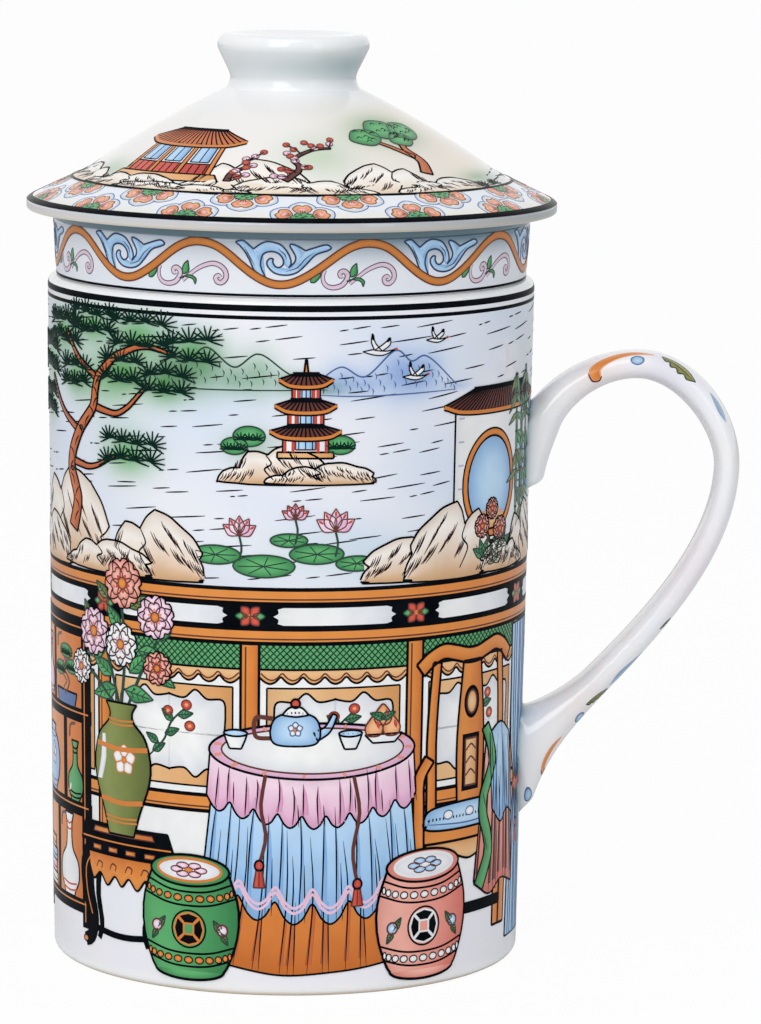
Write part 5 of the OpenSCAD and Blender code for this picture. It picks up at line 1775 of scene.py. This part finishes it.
def mug_wash(points):
    """Pale blue water in drifting patches, green behind the pine and the bushes, a bare foot rim."""
    x, y, z = points.T
    u = on_half(x, y, RIM_R, BACK_AT)
    colour = np.ones((len(points), 4))
    lake = np.clip((z - LAKE_FOOT) / 2, 0, 1) * np.clip((LAKE_TOP - z) / 0.8, 0, 1)
    patch = 0.5 + 0.5 * np.sin(u / 8 + 1.3 * np.sin(z / 6)) * np.sin(z / 5.2 + u / 19)
    tint(colour, (np.ones(len(u)), "FCFBFF"), (lake * (0.1 + 0.85 * patch), "E8F3FE"))
    x0, y0 = PINE_AT
    spots = [(x0 + a, y0 + b - 0.5, w * 0.85, h * 1.3, "55B64C", 0.9) for a, b, w, h in PINE_CLOUDS]
    for ridge, code in ((GREEN_RIDGE, "4FA85A"), (BLUE_RIDGE, "8DB8E8")):
        spots += [(a, 98 + (b - 98) * 0.45, 3.2, (b - 98) * 0.6 + 0.5, code, 0.62) for a, b in ridge]
    spots += [(x0 + 9, y0 + 25, 8, 5, "66BC5A", 0.7), (38, 76, 6, 6, "4FA35C", 0.7),
              (49, 88, 5, 10, "4FA35C", 0.6), (-6, 89, 5, 3, "4FA35C", 0.5),
              (-30, 66, 16, 3, "E2C29A", 0.5), (8, 72, 16, 4, "BFE0D4", 0.3)]
    r = np.hypot(x, y)
    outside = (r > wall_r(z) - 0.06) & (z > 2)
    colour = np.where(outside[:, None], soften(u, z, spots, colour), 1.0)
    tint(colour, (np.clip((0.9 - z) / 0.4, 0, 1) * np.clip((r - 33) / 0.5, 0, 1), "E9DCC6"))
    return colour


def handle_wash(points):
    """A cool ground with a faint blush where the colours of the sprigs have flowed."""
    colour = np.ones((len(points), 4)) * linear("FFFEFF")
    return soften(points[:, 0], points[:, 2], HANDLE_SPOTS, colour)


def lid_wash_and_shade(points):
    """A warm cream ground on the lid's face, green behind its trees, painted shade on the brim's edge, and
    a painted shadow in the groove under the brim.
    """
    x, y, z = points.T
    r = np.hypot(x, y)
    face = lid_outside(120)
    outside = (z > np.interp(r, *face.T) - 0.1) & (r < BRIM_R - 0.5)
    climb = np.interp(r, face[:, 0], along(face[::-1])[::-1])
    u = on_half(x, y, LID_MEAN, LID_BACK)
    colour = np.ones((len(points), 4))
    open_face = np.clip((r - KNOB_FOOT_R) / 7, 0, 1)
    ground = np.clip((climb - LID_RING) / 0.4, 0, 1) * open_face
    tint(colour, (ground, "FCF8F3"), (ground * np.clip(u / 30, 0, 1), "FBF4E8"),
         ((1 - ground) * open_face, "F6F9FF"), (np.clip((4.2 - climb) / 2.4, 0, 1), "FFFAEA"))
    colour = np.where(outside[:, None], soften(u, climb, LID_SPOTS, colour), 1.0)
    # The brim's upright edge: a pale tint, bluer towards its top and warmer towards its foot, and painted
    # shade darkening it towards the right.
    edge = (r > BRIM_R - 0.9) * np.clip((BRIM_Z + 0.2 - z) / 0.5, 0, 1)
    rise = np.clip((z - BRIM_LOW_Z) / (BRIM_Z - BRIM_LOW_Z), 0, 1)
    right = 0.5 + 0.5 * np.sin(np.arctan2(y, x) - FRONT)
    tint(colour, (edge, "F3F0EC"), (edge * rise, "E0E9FC"), (edge * (1 - rise), "F8EFDF"),
         (edge * right, "CDD3D6"))
    # painted shadow: dark teal in the groove under the brim, where the brim shades the collar
    groove = (z < BRIM_LOW_Z + 0.05) & (r > COLLAR_TOP_R - 0.2) & (r < COLLAR_TOP_R + 1.2)
    colour[groove, :3] = np.array(linear("5C7883"))[:3]
    return colour


def collar_ground_and_shadow(points):
    """A cool ground, and a painted shadow of the lid's brim: a grey-blue tint along the top of the collar,
    deeper on the right.
    """
    x, y, z = points.T
    outside = np.hypot(x, y) > COLLAR_FOOT_R - 0.2
    right = np.clip(0.65 + 0.5 * np.sin(np.arctan2(y, x) - FRONT), 0.3, 1)
    colour = np.ones((len(points), 4))
    # painted shadow under the lid's brim, deeper towards the right
    tint(colour, (outside * 0.8, "F1F5FD"), (np.clip((z - 116.4) / 5, 0, 1) ** 1.5 * outside * right,
                                             "6A8B99"))
    return colour


for piece, wash in ((mug, mug_wash), (infuser, collar_ground_and_shadow), (handle, handle_wash), (lid, lid_wash_and_shade)):
    set_attribute(piece, "wash", wash(points_of(piece)))


# ---- mug: the rim's lines and both pictures

BAYS = 9                         # panels of the rail round the mug
mug_round = TAU * RIM_R
view, front = Picture(on_mug), Picture(on_mug)
view.circle_line("ink", MUG_H - 1.5, 1.0, mug_round)
view.circle_line("ink", MUG_H - 3.0, 0.6, mug_round)
ripples(view, VIEW_LEFT, mug_round + VIEW_LEFT, 68.5, 108.5, 11)
balustrade(front.at(VIEW_LEFT, 0), BAYS, mug_round / BAYS)
for x, flip, curtain in ((0, 1, ("blue", "mid_blue")), (BACK_AT, -1, ("green", "dark_green"))):
    upper_view(view.at(x, 0, flip=flip, level=0.6))
    terrace(front.at(x, 0, flip=flip, level=1.4), curtain)
view.fire("mug_view", "mug")
front.fire("mug_terrace", "mug")


# ---- lid: a small garden, front and back

def pavilion(p):
    """An open pavilion on a stone foot: red rail and posts, blue screens, a swept tiled roof."""
    p.even("tan", [(8.4, 0), (7.6, 1.5)], 0, "ink", 0.3, bend=False)
    p.box("white", -6.6, 1.5, 6.6, 8.2, 0.2)
    for x in (-4.4, 0, 4.4):
        p.box("blue", x - 1.4, 4.1, x + 1.4, 7.6, 0.4, "ink", 0.26)
        p.stroke("ink", [(x, 4.1), (x, 7.6)], 0.2, 0.6)
    p.box("red", -6.8, 1.5, 6.8, 3.7, 0.5, "ink", 0.3)
    for x in np.arange(-6.2, 6.4, 1.1):
        p.stroke("ink", [(x, 1.7), (x, 3.5)], 0.2, 0.7)
    for x in (-6.6, -2.2, 2.2, 6.6):
        p.box("orange", x - 0.35, 1.5, x + 0.35, 8.2, 0.9, "ink", 0.22)
    roof(p, -9, 9, 8.2, 3.4, "bark", 1.1)


def blossom(p, path, count, seed=1):
    """A crooked branch with side twigs and small red and pink flowers."""
    g = np.random.default_rng(seed)
    limb(p, "brown", path, 0.9, 0.3, 0, "ink", 0.22)
    q = dense(path)
    for k in np.linspace(2, len(q) - 2, count).astype(int):
        tip = q[k] + g.uniform(-1, 1, 2) * (2.2, 1.2) + (0, 0.9)
        p.stroke("ink", [q[k], (q[k] + tip) / 2 + (0.2, 0.1), tip], 0.3, 0.2, taper=0.5)
        for spot in (tip, (q[k] + tip) / 2):
            p.oval("red" if g.uniform() < 0.5 else "pink", *spot, 0.52, 0.46, 0.5, "brown", 0.15)


def round_tree(p, seed=1):
    """A leaning tree with a forked trunk and clumps of small leaves."""
    g = np.random.default_rng(seed)
    limb(p, "bark", [(0, 0), (1.0, 2.6), (0.2, 5.4), (1.6, 8.4)], 1.6, 0.7, 0, "ink", 0.3)
    limb(p, "bark", [(0.6, 3.4), (-1.8, 5.6), (-3.8, 7)], 0.9, 0.5, 0, "ink", 0.26)
    for x, y, w in ((-5.0, 8, 2.7), (-0.8, 9.6, 3.2), (3.9, 9.0, 3.0), (1.4, 7.2, 2.2)):
        a = np.arange(9) * TAU / 9
        bumps = w * (1 + 0.09 * (np.arange(9) % 2))
        p.disc("green", np.stack([x + bumps * np.cos(a), y + bumps * 0.62 * np.sin(a)], 1), 0.6,
               "dark_green", 0.24)
        for _ in range(9):
            at = (x + g.uniform(-0.7, 0.7) * w, y + g.uniform(-0.42, 0.42) * w)
            p.stroke("needle", [at, (at[0] + 0.6, at[1] + 0.35), (at[0] + 1.1, at[1])], 0.22, 0.9,
                     taper=0.6)


def lid_view(p):
    """Pavilion on the left, rocks with a blossoming branch in the middle, a leaning tree on the right."""
    for x, width, height, lumps, seed in ((-36, 16, 5, 1, 61), (-3, 26, 9.5, 2, 62), (18, 22, 8, 2, 63)):
        rock(p.at(x, 9.6, level=0.6), width, height, lumps, seed, "pale_rock")
    rock(p.at(-20, 9.6, level=3.2), 28, 4.4, 2, 64, "pale_rock")
    pavilion(p.at(-20, 12.6, 1.16, level=1))
    blossom(p.at(-1, 13.4, 1.2, level=3), [(0, 0), (1.8, 2.6), (1.0, 4.6), (3.6, 6.6), (6.4, 7.0)], 9, 3)
    blossom(p.at(-9, 13, 1.2, level=3), [(0, 0), (0.2, 1.8), (1.6, 3.0), (1.4, 4.6)], 5, 4)
    round_tree(p.at(21, 14.6, 1.25, level=2.4), 5)
    for x in (30, 33.5):
        tuft(p, x, 10.2, 1.8, 0, 1, 9)


lid_picture = Picture(lid_surface(LID_MEAN), grain=(0.7, 2.0))
for part in (lid_picture.at(0, -0.8), lid_picture.at(LID_BACK, -0.8, flip=-1)):
    lid_view(part)
    ripples(part, -46, -34, 10.4, 14, 71, 1.3)
    ripples(part, 32, 46, 10.4, 14, 72, 1.3)
lid_picture.fire("lid_picture", "lid_assembly")


# ---- camera, stage and light

CAMERA_FAR, CAMERA_HIGH = 825.3, 195.1       # distance from the mug's axis and height, millimetres
CAMERA_SIDE = math.radians(4)                # turn about the mug, towards the handle
PITCH, YAW, ROLL = math.radians(8.41), math.radians(1.05), math.radians(0.68)
LENS = 177.0


def aim(pitch, yaw, roll):
    """Camera axes as columns: right, up and backward, for a view along +Y turned by yaw, pitch and roll."""
    ahead = np.array([math.sin(yaw) * math.cos(pitch), math.cos(yaw) * math.cos(pitch), -math.sin(pitch)])
    right = np.array([math.cos(yaw), -math.sin(yaw), 0])
    up = np.cross(right, ahead)
    return np.stack([right * math.cos(roll) + up * math.sin(roll),
                     up * math.cos(roll) - right * math.sin(roll), -ahead], 1)


def turn_z(angle):
    c, s = math.cos(angle), math.sin(angle)
    return np.array([[c, -s, 0], [s, c, 0], [0, 0, 1]])


def make_camera():
    data = bpy.data.cameras.new("camera")
    data.lens = LENS
    data.clip_start, data.clip_end = 0.05, 20
    camera = bpy.data.objects.new("camera", data)
    bpy.context.scene.collection.objects.link(camera)
    matrix = np.eye(4)
    matrix[:3, :3] = turn_z(CAMERA_SIDE) @ aim(PITCH, YAW, ROLL)
    matrix[:3, 3] = turn_z(CAMERA_SIDE) @ np.array([0, -CAMERA_FAR, CAMERA_HIGH]) * MM
    camera.matrix_world = Matrix(matrix.tolist())
    bpy.context.scene.camera = camera


def area_light(name, place, target, size, power):
    """A rectangular soft box at place, facing target; sizes in metres, power in watts."""
    data = bpy.data.lights.new(name, "AREA")
    data.shape = "RECTANGLE"
    data.size, data.size_y = size
    data.energy = power
    lamp = bpy.data.objects.new(name, data)
    bpy.context.scene.collection.objects.link(lamp)
    back = np.array(place, float) - np.array(target, float)
    back /= np.linalg.norm(back)
    right = np.cross((0, 0, 1), back)
    right /= np.linalg.norm(right)
    matrix = np.eye(4)
    matrix[:3, :3] = np.stack([right, np.cross(back, right), back], 1)
    matrix[:3, 3] = place
    lamp.matrix_world = Matrix(matrix.tolist())


SOFT_LIGHT = (0.55, 0.565, 0.58, 1.0)        # light that reaches the object from all round


def make_stage():
    """A wide pale floor that keeps the shadow, and a white surround."""
    half = 9.0
    x, y = np.meshgrid([-half, half], [-half, half], indexing="xy")
    points = np.stack([x.ravel(), y.ravel(), 0 * x.ravel()], 1)
    material, nodes, links, shader = new_material("studio_floor", 0.9, specular=0.1)
    shader.inputs["Base Color"].default_value = (0.86, 0.86, 0.86, 1)
    ray = nodes.new("ShaderNodeLightPath")
    glow = nodes.new("ShaderNodeEmission")
    glow.inputs["Color"].default_value = (1, 1, 1, 1)
    blend = nodes.new("ShaderNodeMixShader")
    links.new(counted(nodes, links, "MULTIPLY", ray.outputs["Is Camera Ray"], 0.96), blend.inputs[0])
    links.new(shader.outputs[0], blend.inputs[1])
    links.new(glow.outputs[0], blend.inputs[2])
    links.new(blend.outputs[0], nodes["Material Output"].inputs["Surface"])
    mesh_piece("floor", points, np.array([[0, 1, 3, 2]]), material)
    world = bpy.data.worlds.new("studio")
    bpy.context.scene.world = world
    world.use_nodes = True
    nodes, links = world.node_tree.nodes, world.node_tree.links
    background = nodes["Background"]
    ray = nodes.new("ShaderNodeLightPath")
    seen = ray.outputs["Is Camera Ray"]
    for label in ("Is Glossy Ray", "Is Transmission Ray"):
        seen = counted(nodes, links, "ADD", seen, ray.outputs[label])
        seen.node.use_clamp = True
    links.new(mixed(nodes, links, seen, SOFT_LIGHT, (1.0, 1.0, 1.0, 1.0)), background.inputs["Color"])
    background.inputs["Strength"].default_value = 1.0


make_camera()
make_stage()
area_light("key", (-0.42, -1.2, 0.75), (0, 0, 0.07), (0.7, 0.9), 5.6)
area_light("fill", (0.85, -0.95, 0.4), (0, 0, 0.07), (0.3, 0.9), 1.1)
area_light("top", (-0.2, -0.6, 1.35), (0, 0, 0.1), (0.9, 0.7), 3.9)

bpy.context.scene.view_settings.view_transform = "Standard"
